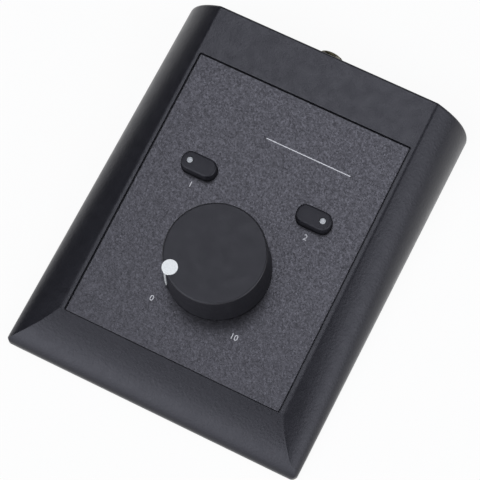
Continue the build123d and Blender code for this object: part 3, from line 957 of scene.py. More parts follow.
def repeat_tree() -> NodeTree:
    """Tree that sets a copy of one solid at every vertex, turned about Z by its turn attribute.

    Returns:
        The tree.
    """
    tree = NodeTree("repeated")
    tree.want("Solid", "Object")
    tree.want("Scale", "Float")
    tree.want("Material", "Material")
    solid = tree.node("GeometryNodeObjectInfo")
    tree.join(tree.entry.outputs["Solid"], solid.inputs["Object"])
    turn = tree.node("GeometryNodeInputNamedAttribute", data_type="FLOAT")
    turn.inputs["Name"].default_value = "turn"
    rotation = tree.node("ShaderNodeCombineXYZ")
    tree.join(turn.outputs[0], rotation.inputs[2])
    place = tree.node("GeometryNodeInstanceOnPoints")
    tree.join(tree.entry.outputs[0], place.inputs["Points"])
    tree.join(solid.outputs["Geometry"], place.inputs["Instance"])
    tree.join(rotation.outputs[0], place.inputs["Rotation"])
    tree.join(tree.entry.outputs["Scale"], place.inputs["Scale"])
    tree.close(place.outputs[0])
    return tree


class Workshop:
    """Makes turned and repeated pieces with the two node trees."""

    def __init__(self) -> None:
        """Trees are built on first use."""
        self.trees: dict[str, NodeTree] = {}

    def tree(self, name: str, build: Callable[[], NodeTree]) -> NodeTree:
        """A tree by name, built once.

        Args:
            name: Its name.
            build: Builds it on its first use.

        Returns:
            The tree.
        """
        if name not in self.trees:
            self.trees[name] = build()
        return self.trees[name]

    def turn(self, name: str, profile: Outline, finish: Finish, place: Matrix | None = None,
             segments: int = 96, sharp_deg: float = SHARP_DEG) -> bpy.types.Object:
        """Turn a profile about Z.

        Args:
            name: The piece's name.
            profile: Radius and height of each point, from one end of the solid to the other.
            finish: Its finish.
            place: Where it goes, in millimetres.
            segments: Sides round the axis.
            sharp_deg: Edges that turn more than this stay sharp.

        Returns:
            The piece.
        """
        chain = bpy.data.meshes.new(name)
        chain.from_pydata([(radius * MM, 0.0, height * MM) for radius, height in profile], [], [])
        piece = link_new(name, chain)
        self.tree("turned", lathe_tree).run(
            piece, Segments=segments, Steps=len(profile), Material=PALETTE.get(finish))
        mesh = bmesh.new()
        mesh.from_mesh(piece.data)
        bmesh.ops.remove_doubles(mesh, verts=mesh.verts, dist=TURNED_WELD)
        bmesh.ops.recalc_face_normals(mesh, faces=mesh.faces)
        if place:
            mesh.transform(in_metres(place))
        mesh.to_mesh(piece.data)
        mesh.free()
        smooth_shade(piece, sharp_deg)
        return piece

    def repeat(self, name: str, solid: bpy.types.Object, places: Points, finish: Finish,
               frame_place: Matrix | None = None, turns: Sequence[float] | None = None) -> bpy.types.Object:
        """Set copies of a solid at several places.

        Args:
            name: The piece's name.
            solid: What is repeated; it is removed.
            places: Centres, in millimetres.
            finish: Their finish.
            frame_place: The frame that the places are in.
            turns: Turn of each about Z, in radians.

        Returns:
            The piece.
        """
        cloud = bpy.data.meshes.new(name)
        cloud.from_pydata([tuple(value * MM for value in point) for point in places], [], [])
        attribute = cloud.attributes.new("turn", "FLOAT", "POINT")
        attribute.data.foreach_set("value", list(turns or [0.0] * len(places)))
        piece = link_new(name, cloud)
        self.tree("repeated", repeat_tree).run(piece, Solid=solid, Scale=1.0, Material=PALETTE.get(finish))
        bpy.data.objects.remove(solid)
        if frame_place:
            piece.data.transform(in_metres(frame_place))
        smooth_shade(piece)
        return piece


WORKSHOP = Workshop()


# ---------------------------------------------------------------- the object's frames and housing
@dataclass(frozen=True)
class Layout:
    """Sizes that several pieces share, in millimetres."""

    tilt_deg: float = 6.0
    plate_w: float = 91.6
    plate_l: float = 115.7
    plate_gap: float = 0.5
    plate_t: float = 1.2
    front_z: float = 12.0
    front_run: float = 19.0
    rear_land: float = 21.5
    plate_y: float = -60.7979
    foot_h: float = 1.8
    wall: float = 2.2
    rear_draft_deg: float = 2.0
    screw_x: float = 53.0
    screw_from_ends: tuple[float, float] = (28.0, 12.0)
    socket_z: float = 15.4
    knob_s: float = 40.2
    bushing_d: float = 7.0
    bushing_gap: float = 0.2
    bushing_cut: tuple[float, float] = (-6.0, 2.0)
    button_x: float = 24.75
    button_s: float = 73.1
    button_l: float = 14.5
    button_w: float = 7.8
    button_r: float = 3.6
    button_gap: float = 0.3
    button_cut: tuple[float, float] = (-9.0, 2.0)

    @property
    def slope(self) -> float:
        """Rise of the top per millimetre to the rear."""
        return math.tan(math.radians(self.tilt_deg))

    @property
    def rear_top_y(self) -> float:
        """Rear edge of the top, from the faceplate's front edge."""
        return (self.plate_l + self.rear_land) * math.cos(math.radians(self.tilt_deg))

    @property
    def rear_top_z(self) -> float:
        """Height of that edge."""
        return self.front_z + (self.plate_l + self.rear_land) * math.sin(math.radians(self.tilt_deg))

    def in_corners(self, x: float, from_ends: tuple[float, float], z: float) -> Points:
        """Four places, two near the front and two near the rear.

        Args:
            x: How far they are from the middle.
            from_ends: How far they are behind the front and before the top's rear edge.
            z: Their height.

        Returns:
            The places.
        """
        front = self.plate_y - self.front_run + from_ends[0]
        rear = self.plate_y + self.rear_top_y - from_ends[1]
        return [(side.value * x, y, z) for side in Side for y in (front, rear)]

    def pill(self, grow: float, steps: int = 6) -> Outline:
        """Outline of a button, grown all round."""
        length, width = self.button_l + 2 * grow, self.button_w + 2 * grow
        return rounded_rectangle(length, width, self.button_r + grow, steps)

    def on_slope(self, x: float = 0.0, s: float = 0.0, h: float = 0.0, turn_deg: float = 0.0) -> Matrix:
        """Place square to the faceplate.

        Args:
            x: Across.
            s: Up the slope from the faceplate's front edge.
            h: Out of the face.
            turn_deg: Turn about the face's normal.

        Returns:
            The place in millimetres.
        """
        frame = Matrix.Translation((0, self.plate_y, self.front_z)) @ Matrix.Rotation(
            math.radians(self.tilt_deg), 4, "X")
        return frame @ Matrix.Translation((x, s, h)) @ Matrix.Rotation(math.radians(turn_deg), 4, "Z")

    def on_rear(self, w: float = 0.0) -> Matrix:
        """Place square to the rear wall at the socket, with Z out of the wall.

        Args:
            w: Out of the wall.

        Returns:
            The place in millimetres.
        """
        lean = math.radians(self.rear_draft_deg)
        wall_y = self.plate_y + self.rear_top_y + (self.rear_top_z - self.socket_z) * math.tan(lean)
        return Matrix.Translation((0, wall_y, self.socket_z)) @ Matrix.Rotation(
            lean - math.pi / 2, 4, "X") @ Matrix.Translation((0, 0, w))

    def control_cutters(self, prefix: str) -> list[bpy.types.Object]:
        """Cutters for the knob's bushing and both buttons.

        Args:
            prefix: Start of their names.

        Returns:
            The cutters.
        """
        bushing = circle(self.bushing_d / 2 + self.bushing_gap)
        cutters = [prism(prefix + "_bushing", bushing, self.on_slope(0, self.knob_s), *self.bushing_cut)]
        pill = self.pill(self.button_gap)
        for side in Side:
            place = self.on_slope(side.value * self.button_x, self.button_s)
            cutters.append(prism(prefix + "_button", pill, place, *self.button_cut))
        return cutters


LAYOUT = Layout()


@dataclass
class HousingShell:
    """The moulded wedge: flat top, soft creases, bellied sides and front that meet in mitres."""

    half_w: float = 62.0
    crease_x: float = 47.6
    crease_soft: float = 0.05
    lip: float = 0.9
    side_belly: float = 0.36
    front_belly: float = 0.44
    rim: float = 1.0
    corner: float = 2.5
    film_t: float = 0.15
    deck_t: float = 1.25
    crease_share: float = 0.7
    start_share: float = 0.3
    hollow_rim: float = 0.4
    pocket_r: float = 0.85
    pocket_top: float = 4.0
    socket_hole_r: float = 4.45
    socket_cut: tuple[float, float] = (-8.0, 4.0)
    case_post: tuple[float, float, float] = (1.5, 3.3, 4.6)
    case_post_lift: float = 1.5
    board_post: tuple[float, float, float] = (1.1, 2.8, 4.4)
    board_post_x: float = 37.0
    board_post_s: tuple[float, float] = (38.0, 114.0)
    board_post_h: float = -7.0
    post_segments: int = 24
    soft_steps: int = 6
    side_steps: int = 26
    halvings: int = 40
    rounds: int = 4
    near: tuple[float, ...] = (0.0, 0.3, 0.8, 1.4, 2.0)

    def side_point(self, step: int, y: float, shrink: float, lower: float,
                   bottom: float) -> tuple[float, float]:
        """Point of the right side's section.

        Args:
            step: Which sample, from the crease's start down to the bottom.
            y: Station, from the faceplate's front edge.
            shrink: How far the section is drawn in.
            lower: How far its top is let down.
            bottom: Height of its lower end.

        Returns:
            Its x and z.
        """
        half = self.half_w - shrink
        crease = self.crease_x - self.crease_share * shrink
        top = LAYOUT.front_z + y * LAYOUT.slope - lower
        foot = LAYOUT.foot_h + self.lip
        belly = top - (top - foot) * self.side_belly
        soft = (half - crease) * self.crease_soft
        turn = (crease + soft, top - (top - belly) * self.crease_soft)
        if step > self.soft_steps + self.side_steps:
            return half, bottom
        if step <= self.soft_steps:
            chain = ((crease - soft, top), (crease, top), turn)
            u = step / self.soft_steps
        else:
            chain = (turn, (half, belly), (half, foot))
            u = (step - self.soft_steps) / self.side_steps
        weights = ((1 - u) ** 2, 2 * u * (1 - u), u * u)
        return tuple(sum(w * point[axis] for w, point in zip(weights, chain)) for axis in (0, 1))

    def front_height(self, y: float, shrink: float, lower: float) -> float:
        """Height of the front curve at a station.

        Args:
            y: Station, from the faceplate's front edge.
            shrink: How far the curve is drawn in.
            lower: How far its top is let down.

        Returns:
            Its z.
        """
        front = shrink - LAYOUT.front_run
        start = self.start_share * shrink
        foot = LAYOUT.foot_h + self.lip
        top = LAYOUT.front_z + start * LAYOUT.slope - lower
        belly = top - (top - foot) * self.front_belly
        v = math.sqrt(max(0.0, (y - front) / (start - front)))
        return foot * (1 - v) ** 2 + 2 * belly * v * (1 - v) + top * v * v

    def mitre(self, step: int, shrink: float, lower: float) -> float:
        """Station where the side's sample meets the front curve.

        Args:
            step: Which sample of the side's section.
            shrink: How far both are drawn in.
            lower: How far their top is let down.

        Returns:
            The station.
        """
        low, high = shrink - LAYOUT.front_run, self.start_share * shrink
        for _ in range(self.halvings):
            middle = (low + high) / 2
            side_z = self.side_point(step, middle, shrink, lower, 0.0)[1]
            if side_z > self.front_height(middle, shrink, lower):
                low = middle
            else:
                high = middle
        return (low + high) / 2

    def wall_station(self, z: float, shrink: float) -> float:
        """Station of the leaning rear wall at a height."""
        lean = math.tan(math.radians(LAYOUT.rear_draft_deg))
        return LAYOUT.rear_top_y - shrink + (LAYOUT.rear_top_z - z) * lean

    def stations(self, start: float, end: float, count: int = 22) -> list[float]:
        """Stations from a mitre to the rear, close together near both ends.

        Args:
            start: The mitre.
            end: The last station.
            count: Even steps between the ends.

        Returns:
            The stations in order.
        """
        first = start + self.near[-1]
        last = end - self.near[1]
        even = [first + (last - first) * i / count for i in range(1, count + 1)]
        return [start + d for d in self.near] + even + [end]

    def across(self, half: float, count: int = 14) -> list[float]:
        """Columns from the left to the right, close together near both ends.

        Args:
            half: How far the outer ones are from the middle.
            count: Even steps in each half.

        Returns:
            Their x in order.
        """
        inner = half - self.near[-1]
        right = [inner * i / count for i in range(1, count)] + [half - d for d in reversed(self.near)]
        return [-x for x in reversed(right)] + [0.0] + right

    def at_corner(self, point: tuple[float, float, float], rounded: bool) -> tuple[float, float, float]:
        """Pull a point in onto the plan's round front corner.

        Args:
            point: The point, with y from the faceplate's front edge.
            rounded: Whether the corner is round.

        Returns:
            The point in the object's frame.
        """
        x, y, z = point
        centre_x = self.half_w - self.corner
        centre_y = self.corner - LAYOUT.front_run
        off_x, off_y = abs(x) - centre_x, centre_y - y
        reach = math.hypot(off_x, off_y)
        if rounded and off_x > 0 and off_y > 0 and reach > self.corner:
            x = math.copysign(centre_x + off_x * self.corner / reach, x)
            y = centre_y - off_y * self.corner / reach
        return x, y + LAYOUT.plate_y, z

    def wedge(self, name: str, shrink: float = 0.0, lower: float = 0.0, bottom: float | None = None,
              rim: float | None = None) -> bpy.types.Object:
        """Closed wedge, full size for the outside or drawn in for the hollow.

        Args:
            name: The object's name.
            shrink: How far walls are drawn in.
            lower: How far the top is let down.
            bottom: Height of the underside.
            rim: Radius round the rear wall.

        Returns:
            The object.
        """
        bottom = LAYOUT.foot_h if bottom is None else bottom
        rim = self.rim if rim is None else rim
        rounded = shrink == 0.0
        last = self.soft_steps + self.side_steps + 1
        sketch = Sketch()
        runs: list[list[float]] = []
        for step in range(last + 1):
            start = self.mitre(min(step, last - 1), shrink, lower)
            end = self.wall_station(LAYOUT.rear_top_z - lower, shrink) - rim
            for _ in range(self.rounds):
                z = self.side_point(step, end, shrink, lower, bottom)[1]
                end = self.wall_station(z, shrink) - rim
            runs.append(self.stations(start, end))
        sides: list[list[Points]] = []
        for side in Side:
            rows = []
            for step, run in enumerate(runs):
                row = []
                for y in run:
                    x, z = self.side_point(step, y, shrink, lower, bottom)
                    row.append(self.at_corner((side.value * x, y, z), rounded))
                rows.append(row)
            sides.append(rows)
            sketch.grid(rows)
        crease = self.side_point(0, 0.0, shrink, lower, bottom)[0]
        top_rows = []
        for y in runs[0]:
            z = self.side_point(0, y, shrink, lower, bottom)[1]
            top_rows.append([(x, y + LAYOUT.plate_y, z) for x in self.across(crease)])
        sketch.grid(top_rows)
        front_rows = []
        for step, run in enumerate(runs):
            x, z = self.side_point(step, run[0], shrink, lower, bottom)
            front_rows.append([self.at_corner((c, run[0], z), rounded) for c in self.across(x)])
        sketch.grid(front_rows)
        loop = [row[-1] for row in reversed(sides[0])] + top_rows[-1][1:-1] + [row[-1] for row in sides[1]]
        self.rear_cap(sketch, loop, shrink, rim)
        sketch.weld()
        bmesh.ops.holes_fill(sketch.mesh, edges=[e for e in sketch.mesh.edges if e.is_boundary], sides=0)
        return sketch.finish(name)

    def rear_cap(self, sketch: Sketch, loop: Points, shrink: float, rim: float, steps: int = 6) -> None:
        """Round the rear end of the wedge over into its flat wall.

        Args:
            sketch: The mesh that is drawn.
            loop: Points of the last section, from the left bottom over the top to the right bottom.
            shrink: How far the wall is drawn in.
            rim: Radius of the rounding.
            steps: Segments in the rounding.
        """
        normals = []
        for i in range(len(loop)):
            before, after = loop[max(0, i - 1)], loop[min(len(loop) - 1, i + 1)]
            across = Vector((after[0] - before[0], after[2] - before[2])).normalized()
            normals.append((-across.y, across.x))
        rows = []
        for step in range(steps + 1):
            angle = math.pi / 2 * step / steps
            inward = rim * (1 - math.cos(angle))
            row = []
            for i, ((x, y, z), (nx, nz)) in enumerate(zip(loop, normals)):
                ends = i in (0, len(loop) - 1)
                new_x = x - math.copysign(inward, x) if ends else x - nx * inward
                new_z = z if ends else z - nz * inward
                new_y = self.wall_station(new_z, shrink) + LAYOUT.plate_y - rim * (1 - math.sin(angle))
                row.append((new_x, new_y if step else y, new_z))
            rows.append(sketch.row(row))
        sketch.skin(rows)
        sketch.mesh.faces.new(rows[-1])

    def build(self) -> None:
        """Make the shell with its hollow, the faceplate's pocket and every opening."""
        shell = self.wedge("housing_shell")
        pocket_floor = -LAYOUT.plate_t - self.film_t
        lid = (self.deck_t - pocket_floor) / math.cos(math.radians(LAYOUT.tilt_deg))
        hollow = self.wedge("hollow", LAYOUT.wall, lid, 0.0, self.hollow_rim)
        width, length = LAYOUT.plate_w + LAYOUT.plate_gap, LAYOUT.plate_l + LAYOUT.plate_gap
        outline = rounded_rectangle(width, length, self.pocket_r)
        middle = LAYOUT.on_slope(0, LAYOUT.plate_l / 2)
        cutters = [hollow, prism("pocket", outline, middle, pocket_floor, self.pocket_top)]
        cutters += LAYOUT.control_cutters("shell")
        cutters.append(prism("socket_hole", circle(self.socket_hole_r), LAYOUT.on_rear(), *self.socket_cut))
        carve(shell, cutters)
        weigh_normals(shell)
        dress(shell, HOUSING_BLACK, Body.HOUSING, "housing_black", "upper_shell")
        case_places = LAYOUT.in_corners(
            LAYOUT.screw_x, LAYOUT.screw_from_ends, LAYOUT.foot_h + self.case_post_lift)
        self.posts("case_bosses", self.case_post, case_places)
        board_places = [(side.value * self.board_post_x, s, self.board_post_h)
                        for side in Side for s in self.board_post_s]
        self.posts("board_bosses", self.board_post, board_places, LAYOUT.on_slope())

    def posts(self, name: str, size: tuple[float, float, float], places: Points,
              frame_place: Matrix | None = None) -> None:
        """Set screw posts inside the shell.

        Args:
            name: The piece's name.
            size: Bore radius, outer radius and length of one.
            places: Where they stand.
            frame_place: The frame that the places are in.
        """
        bore_r, outer_r, length = size
        section = [(bore_r, 0.0), (outer_r, 0.0), (outer_r, length), (bore_r, length), (bore_r, 0.0)]
        post = WORKSHOP.turn("post", section, HOUSING_BLACK, segments=self.post_segments)
        piece = WORKSHOP.repeat(name, post, places, HOUSING_BLACK, frame_place)
        dress(piece, HOUSING_BLACK, Body.HOUSING, "housing_black")


@dataclass
class Faceplate:
    """Painted plate with broken edges, which sits close to the front of the housing's pocket."""

    corner: float = 0.5
    edge: float = 0.3
    forward: float = 0.4
    sharp_deg: float = 20.0

    def shape(self, grow: float) -> Outline:
        """Outline of the plate.

        Args:
            grow: How far it is grown all round.

        Returns:
            Its points.
        """
        width = LAYOUT.plate_w - LAYOUT.plate_gap + 2 * grow
        length = LAYOUT.plate_l - LAYOUT.plate_gap + self.forward + 2 * grow
        return rounded_rectangle(width, length, self.corner + grow)

    def build(self) -> None:
        """Make the plate and its openings."""
        sketch = Sketch()
        sketch.stack(self.shape, [(-LAYOUT.plate_t, 0.0), (-self.edge, 0.0), (0.0, -self.edge)])
        plate = sketch.finish("faceplate_sheet", LAYOUT.on_slope(0, (LAYOUT.plate_l - self.forward) / 2))
        carve(plate, LAYOUT.control_cutters("plate"), self.sharp_deg)
        dress(plate, PANEL_PAINT, Body.HOUSING, "panel_paint", "faceplate")


# ---------------------------------------------------------------- controls
@dataclass
class VolumeKnob:
    """Large tapered knob with a dot on top and a stripe down its side."""

    foot_r: float = 20.8
    top_r: float = 19.8
    lift: float = 0.8
    top_h: float = 21.5
    edge: float = 0.8
    foot_edge: float = 0.35
    rings: tuple[float, ...] = (0.0, 8.0, 16.0, 18.5)
    side_steps: int = 4
    wall_r: float = 17.2
    mouth_edge: float = 0.3
    ceiling: float = 18.5
    hub_r: float = 6.0
    hub_foot: float = 4.6
    bore_r: float = 4.3
    bore_top: float = 16.1
    pointer_deg: float = 133.7
    pointer_t: float = 0.8
    dot_r: float = 3.125
    dot_at: float = 17.6
    dot_proud: float = 0.02
    dot_edge: float = 0.12
    dot_steps: int = 64
    stripe_w: float = 2.2
    stripe_foot: float = 2.4
    stripe_short: float = 0.4
    stripe_proud: float = 0.4
    stripe_steps: int = 4
    stripe_rows: int = 6
    ribs: int = 6
    rib_ends: tuple[float, float] = (5.8, 17.3)
    rib_half_t: float = 0.6
    rib_foot: float = 9.0
    rib_sunk: float = 0.1
    segments: int = 128
    sharp_deg: float = 40.0

    @property
    def place(self) -> Matrix:
        """The knob's own frame, with the pointer along Y."""
        return LAYOUT.on_slope(0, LAYOUT.knob_s, 0, self.pointer_deg)

    @property
    def side_ends(self) -> tuple[float, float]:
        """Heights of the tapered side's lower and upper end."""
        return self.lift + self.foot_edge, self.top_h - self.edge

    def side_radius(self, height: float) -> float:
        """Radius of the tapered side at a height."""
        low, high = self.side_ends
        return self.top_r + (self.foot_r - self.top_r) * (high - height) / (high - low)

    def profile(self) -> Outline:
        """Section from the top's centre round to the bore's end.

        Returns:
            Its points.
        """
        low, high = self.side_ends
        outside = [(radius, self.top_h) for radius in self.rings]
        outside += arc((self.top_r - self.edge, high), self.edge, 90, 0, 8)
        for i in range(1, self.side_steps + 1):
            height = high + (low - high) * i / self.side_steps
            outside.append((self.side_radius(height), height))
        outside += arc((self.foot_r - self.foot_edge, low), self.foot_edge, 0, -90, 4)
        mouth = [(self.wall_r + self.mouth_edge, self.lift), (self.wall_r, self.lift + self.mouth_edge)]
        hub = [(self.hub_r, self.ceiling), (self.hub_r, self.hub_foot)]
        bore = [(self.bore_r, self.hub_foot), (self.bore_r, self.bore_top), (0.0, self.bore_top)]
        return outside + mouth + [(self.wall_r, self.ceiling)] + hub + bore

    def stripe_section(self, height: float) -> Points:
        """Section of the stripe: flat at the back, round with the side in front.

        Args:
            height: Where it is taken.

        Returns:
            Its points.
        """
        reach = self.side_radius(height) + self.stripe_proud
        half = self.stripe_w / 2
        cheek = half - self.dot_edge
        front = []
        for i in range(-self.stripe_steps, self.stripe_steps + 1):
            x = -cheek * i / self.stripe_steps
            front.append((x, math.sqrt(reach ** 2 - x ** 2)))
        side = reach - self.dot_edge - half * half / (2 * reach)
        back = reach - self.stripe_proud - self.pointer_t
        outline = [(half, back), (half, side), *front, (-half, side), (-half, back)]
        return [(x, y, height) for x, y in outline]

    def pointer(self) -> bpy.types.Object:
        """White inlay: a disc let into the top, and a stripe that stands out of the side.

        Returns:
            The piece.
        """
        sketch = Sketch()
        top = self.top_h + self.dot_proud
        levels = [(self.top_h - self.pointer_t, 0.0), (top - self.dot_edge, 0.0), (top, -self.dot_edge)]
        sketch.stack(
            lambda grow: [(x, y + self.dot_at) for x, y in circle(self.dot_r + grow, self.dot_steps)], levels)
        low, high = self.stripe_foot, self.top_h - self.stripe_short
        sketch.loft([self.stripe_section(low + (high - low) * i / self.stripe_rows)
                     for i in range(self.stripe_rows + 1)])
        return sketch.finish("pointer_inlay", self.place)

    def build(self) -> None:
        """Make the knob, its ribs and its pointer."""
        knob = WORKSHOP.turn(
            "knob_body", self.profile(), KNOB_BLACK, self.place, self.segments, self.sharp_deg)
        weigh_normals(knob)
        dress(knob, KNOB_BLACK, Body.KNOB, "knob_black", "volume_knob")
        inner, outer = self.rib_ends
        half = self.rib_half_t
        outline = [(inner, -half), (outer, -half), (outer, half), (inner, half)]
        rib = prism("rib", outline, Matrix.Identity(4), self.rib_foot, self.ceiling + self.rib_sunk)
        places = [(0.0, 0.0, 0.0)] * self.ribs
        turns = [2 * math.pi * i / self.ribs for i in range(self.ribs)]
        ribs = WORKSHOP.repeat("knob_ribs", rib, places, KNOB_BLACK, self.place, turns)
        dress(ribs, KNOB_BLACK, Body.KNOB, "knob_black")
        dress(self.pointer(), POINTER_WHITE, Body.KNOB, "pointer_white", "knob_pointer")


@dataclass
class PushButton:
    """Soft cap with a clear lens in its outer end."""

    side: Side
    top: float = 4.8
    edge: float = 1.0
    crown: float = 0.12
    flange_top: float = -2.7
    flange_t: float = 0.8
    flange_out: float = 1.0
    crown_in: float = 0.9
    lens_r: float = 1.2
    lens_at: float = 3.8
    lens_foot: float = 2.0
    lens_sunk: float = 0.1
    lens_dome: float = 0.22
    dome_degs: tuple[float, ...] = (20.0, 40.0, 60.0, 78.0)
    hole_r: float = 1.41
    hole_cut: tuple[float, float] = (2.0, 6.0)
    pill_steps: int = 12
    lens_steps: int = 32

    @property
    def name(self) -> str:
        """Left or right."""
        return self.side.name.lower()

    @property
    def body(self) -> Body:
        """The body that the cap is."""
        return Body.LEFT_KEY if self.side is Side.LEFT else Body.RIGHT_KEY

    def levels(self) -> Outline:
        """Height and growth of the cap's outlines, from its flange over its round edge to its crown.

        Returns:
            The levels, from the bottom up.
        """
        flange = [(self.flange_top - self.flange_t, self.flange_out), (self.flange_top, self.flange_out)]
        centre = (0.0, self.top - self.crown - self.edge)
        rounded = [(height, reach - self.edge) for reach, height in arc(centre, self.edge, 0, 90, 8)]
        crown = [(self.top - self.crown / 2, -self.edge - self.crown_in),
                 (self.top, -self.edge - 2 * self.crown_in)]
        return flange + [(self.flange_top, 0.0)] + rounded + crown

    def lens_profile(self) -> Outline:
        """Section of the lens, from its lower end to the top of its dome.

        Returns:
            Its points.
        """
        rim = self.top - self.lens_sunk
        points = [(0.0, self.lens_foot), (self.lens_r, self.lens_foot), (self.lens_r, rim)]
        for angle in map(math.radians, self.dome_degs):
            points.append((self.lens_r * math.cos(angle), rim + self.lens_dome * math.sin(angle)))
        return points + [(0.0, rim + self.lens_dome)]

    def build(self) -> None:
        """Make the cap and the lens."""
        x = self.side.value * LAYOUT.button_x
        lens_place = LAYOUT.on_slope(x + self.side.value * self.lens_at, LAYOUT.button_s)
        sketch = Sketch()
        sketch.stack(lambda grow: LAYOUT.pill(grow, self.pill_steps), self.levels())
        cap = sketch.finish(f"{self.name}_cap", LAYOUT.on_slope(x, LAYOUT.button_s))
        carve(cap, [prism("lens_hole", circle(self.hole_r, self.lens_steps), lens_place, *self.hole_cut)])
        weigh_normals(cap)
        dress(cap, BUTTON_BLACK, self.body, "button_black", f"{self.name}_button")
        lens = WORKSHOP.turn(
            f"{self.name}_light_pipe", self.lens_profile(), LENS_CLEAR, lens_place, self.lens_steps)
        dress(lens, LENS_CLEAR, self.body, "lens_clear", f"{self.name}_button_lens")


@dataclass
class PanelPrint:
    """Plain print on the faceplate: a rule, numbers at the knob's stops, and the buttons' numbers."""

    height: float = 0.012
    thickness: float = 0.02
    rule_s: float = 95.07
    rule_ends: tuple[float, float] = (-6.45, 29.67)
    rule_w: float = 0.38
    rule_round: float = 0.3
    digit_size: float = 3.3
    stop_x: float = 17.6
    stop_s: float = 17.4
    label_s: float = 64.4

    def words(self, text: str, x: float, s: float) -> bpy.types.Object:
        """Flat printed characters.

        Args:
            text: What is printed.
            x: Middle across.
            s: Baseline up the slope.

        Returns:
            Their mesh, in place.
        """
        curve = bpy.data.curves.new("print", "FONT")
        curve.body = text
        curve.size = self.digit_size * MM
        curve.align_x = "CENTER"
        curve.extrude = self.thickness / 2 * MM
        holder = link_new("print", curve)
        graph = bpy.context.evaluated_depsgraph_get()
        mesh = bpy.data.meshes.new_from_object(holder.evaluated_get(graph))
        bpy.data.objects.remove(holder)
        mesh.transform(in_metres(LAYOUT.on_slope(x, s, self.height)))
        return link_new("print", mesh)

    def rule(self) -> bpy.types.Object:
        """Printed line across the plate.

        Returns:
            Its mesh, in place.
        """
        start, end = self.rule_ends
        outline = rounded_rectangle(end - start, self.rule_w, self.rule_w * self.rule_round, 2)
        place = LAYOUT.on_slope((start + end) / 2, self.rule_s, self.height - self.thickness / 2)
        return prism("print", outline, place, 0.0, self.thickness)

    def build(self) -> None:
        """Print everything as one thin piece."""
        pieces = [
            self.rule(),
            self.words("0", -self.stop_x, self.stop_s),
            self.words("10", self.stop_x, self.stop_s),
            self.words("1", -LAYOUT.button_x, self.label_s),
            self.words("2", LAYOUT.button_x, self.label_s),
        ]
        merged = bmesh.new()
        for piece in pieces:
            merged.from_mesh(piece.data)
            bpy.data.objects.remove(piece)
        mesh = bpy.data.meshes.new("panel_print")
        merged.to_mesh(mesh)
        merged.free()
        dress(link_new("panel_print", mesh), PRINT_WHITE, Body.HOUSING, "pointer_white")


# ---------------------------------------------------------------- socket and underside
@dataclass
class RearSocket:
    """Turned collar and barrel, with the contacts in its insulator."""

    collar_r: float = 5.2
    collar_out: float = 3.6
    collar_edge: float = 0.4
    gasket: float = 0.4
    barrel_r: float = 4.3
    barrel_end: float = -9.0
    bore_r: float = 3.7
    bore_end: float = -1.4
    relief_r: float = 3.95
    insert_face: float = -1.8
    seat_r: float = 3.4
    pin_r: float = 0.4
    mouth_edge: float = 0.25
    grooves: tuple[float, ...] = (2.1, 1.2)
    groove_depth: float = 0.28
    groove_halves: tuple[float, float] = (0.32, 0.14)
    segments: int = 72
    ring_r: float = 2.3
    contacts: int = 7
    pin_ends: tuple[float, float] = (-10.8, -2.4)
    pin_taper: float = 0.3
    pin_tip_r: float = 0.2
    pin_segments: int = 16

    def profile(self) -> Outline:
        """Section of the shell, from its bore over the collar to the barrel and back.

        Returns:
            Its points.
        """
        out = self.collar_out
        mouth = [(self.bore_r, self.bore_end), (self.bore_r, out - self.mouth_edge),
                 (self.bore_r + self.mouth_edge, out)]
        collar = [(self.collar_r - self.collar_edge, out), (self.collar_r, out - self.collar_edge)]
        wide, narrow = self.groove_halves
        floor_r = self.collar_r - self.groove_depth
        for groove in self.grooves:
            collar += [(self.collar_r, groove + wide), (floor_r, groove + narrow),
                       (floor_r, groove - narrow), (self.collar_r, groove - wide)]
        barrel = [(self.collar_r, self.gasket), (self.barrel_r, self.gasket),
                  (self.barrel_r, self.barrel_end)]
        seat = [(self.seat_r, self.barrel_end), (self.seat_r, self.insert_face)]
        relief = [(self.relief_r, self.insert_face), (self.relief_r, self.bore_end)]
        return mouth + collar + barrel + seat + relief + [(self.bore_r, self.bore_end)]

    def build(self) -> None:
        """Make the shell and the contacts."""
        shell = WORKSHOP.turn("socket_collar", self.profile(), SOCKET_BRASS, LAYOUT.on_rear(), self.segments)
        dress(shell, SOCKET_BRASS, Body.HOUSING, "socket_brass", "socket_shell")
        foot, tip = self.pin_ends
        section = [(0.0, foot), (self.pin_r, foot), (self.pin_r, tip - self.pin_taper),
                   (self.pin_tip_r, tip), (0.0, tip)]
        pin = WORKSHOP.turn("contact", section, CONTACT_GOLD, segments=self.pin_segments)
        ring = self.contacts - 1
        places = [(0.0, 0.0, 0.0)]
        for i in range(ring):
            angle = 2 * math.pi * i / ring
            places.append((self.ring_r * math.sin(angle), self.ring_r * math.cos(angle), 0.0))
        pins = WORKSHOP.repeat("contact_pins", pin, places, CONTACT_GOLD, LAYOUT.on_rear())
        dress(pins, CONTACT_GOLD, Body.HOUSING, "contact_gold", "socket_contacts")


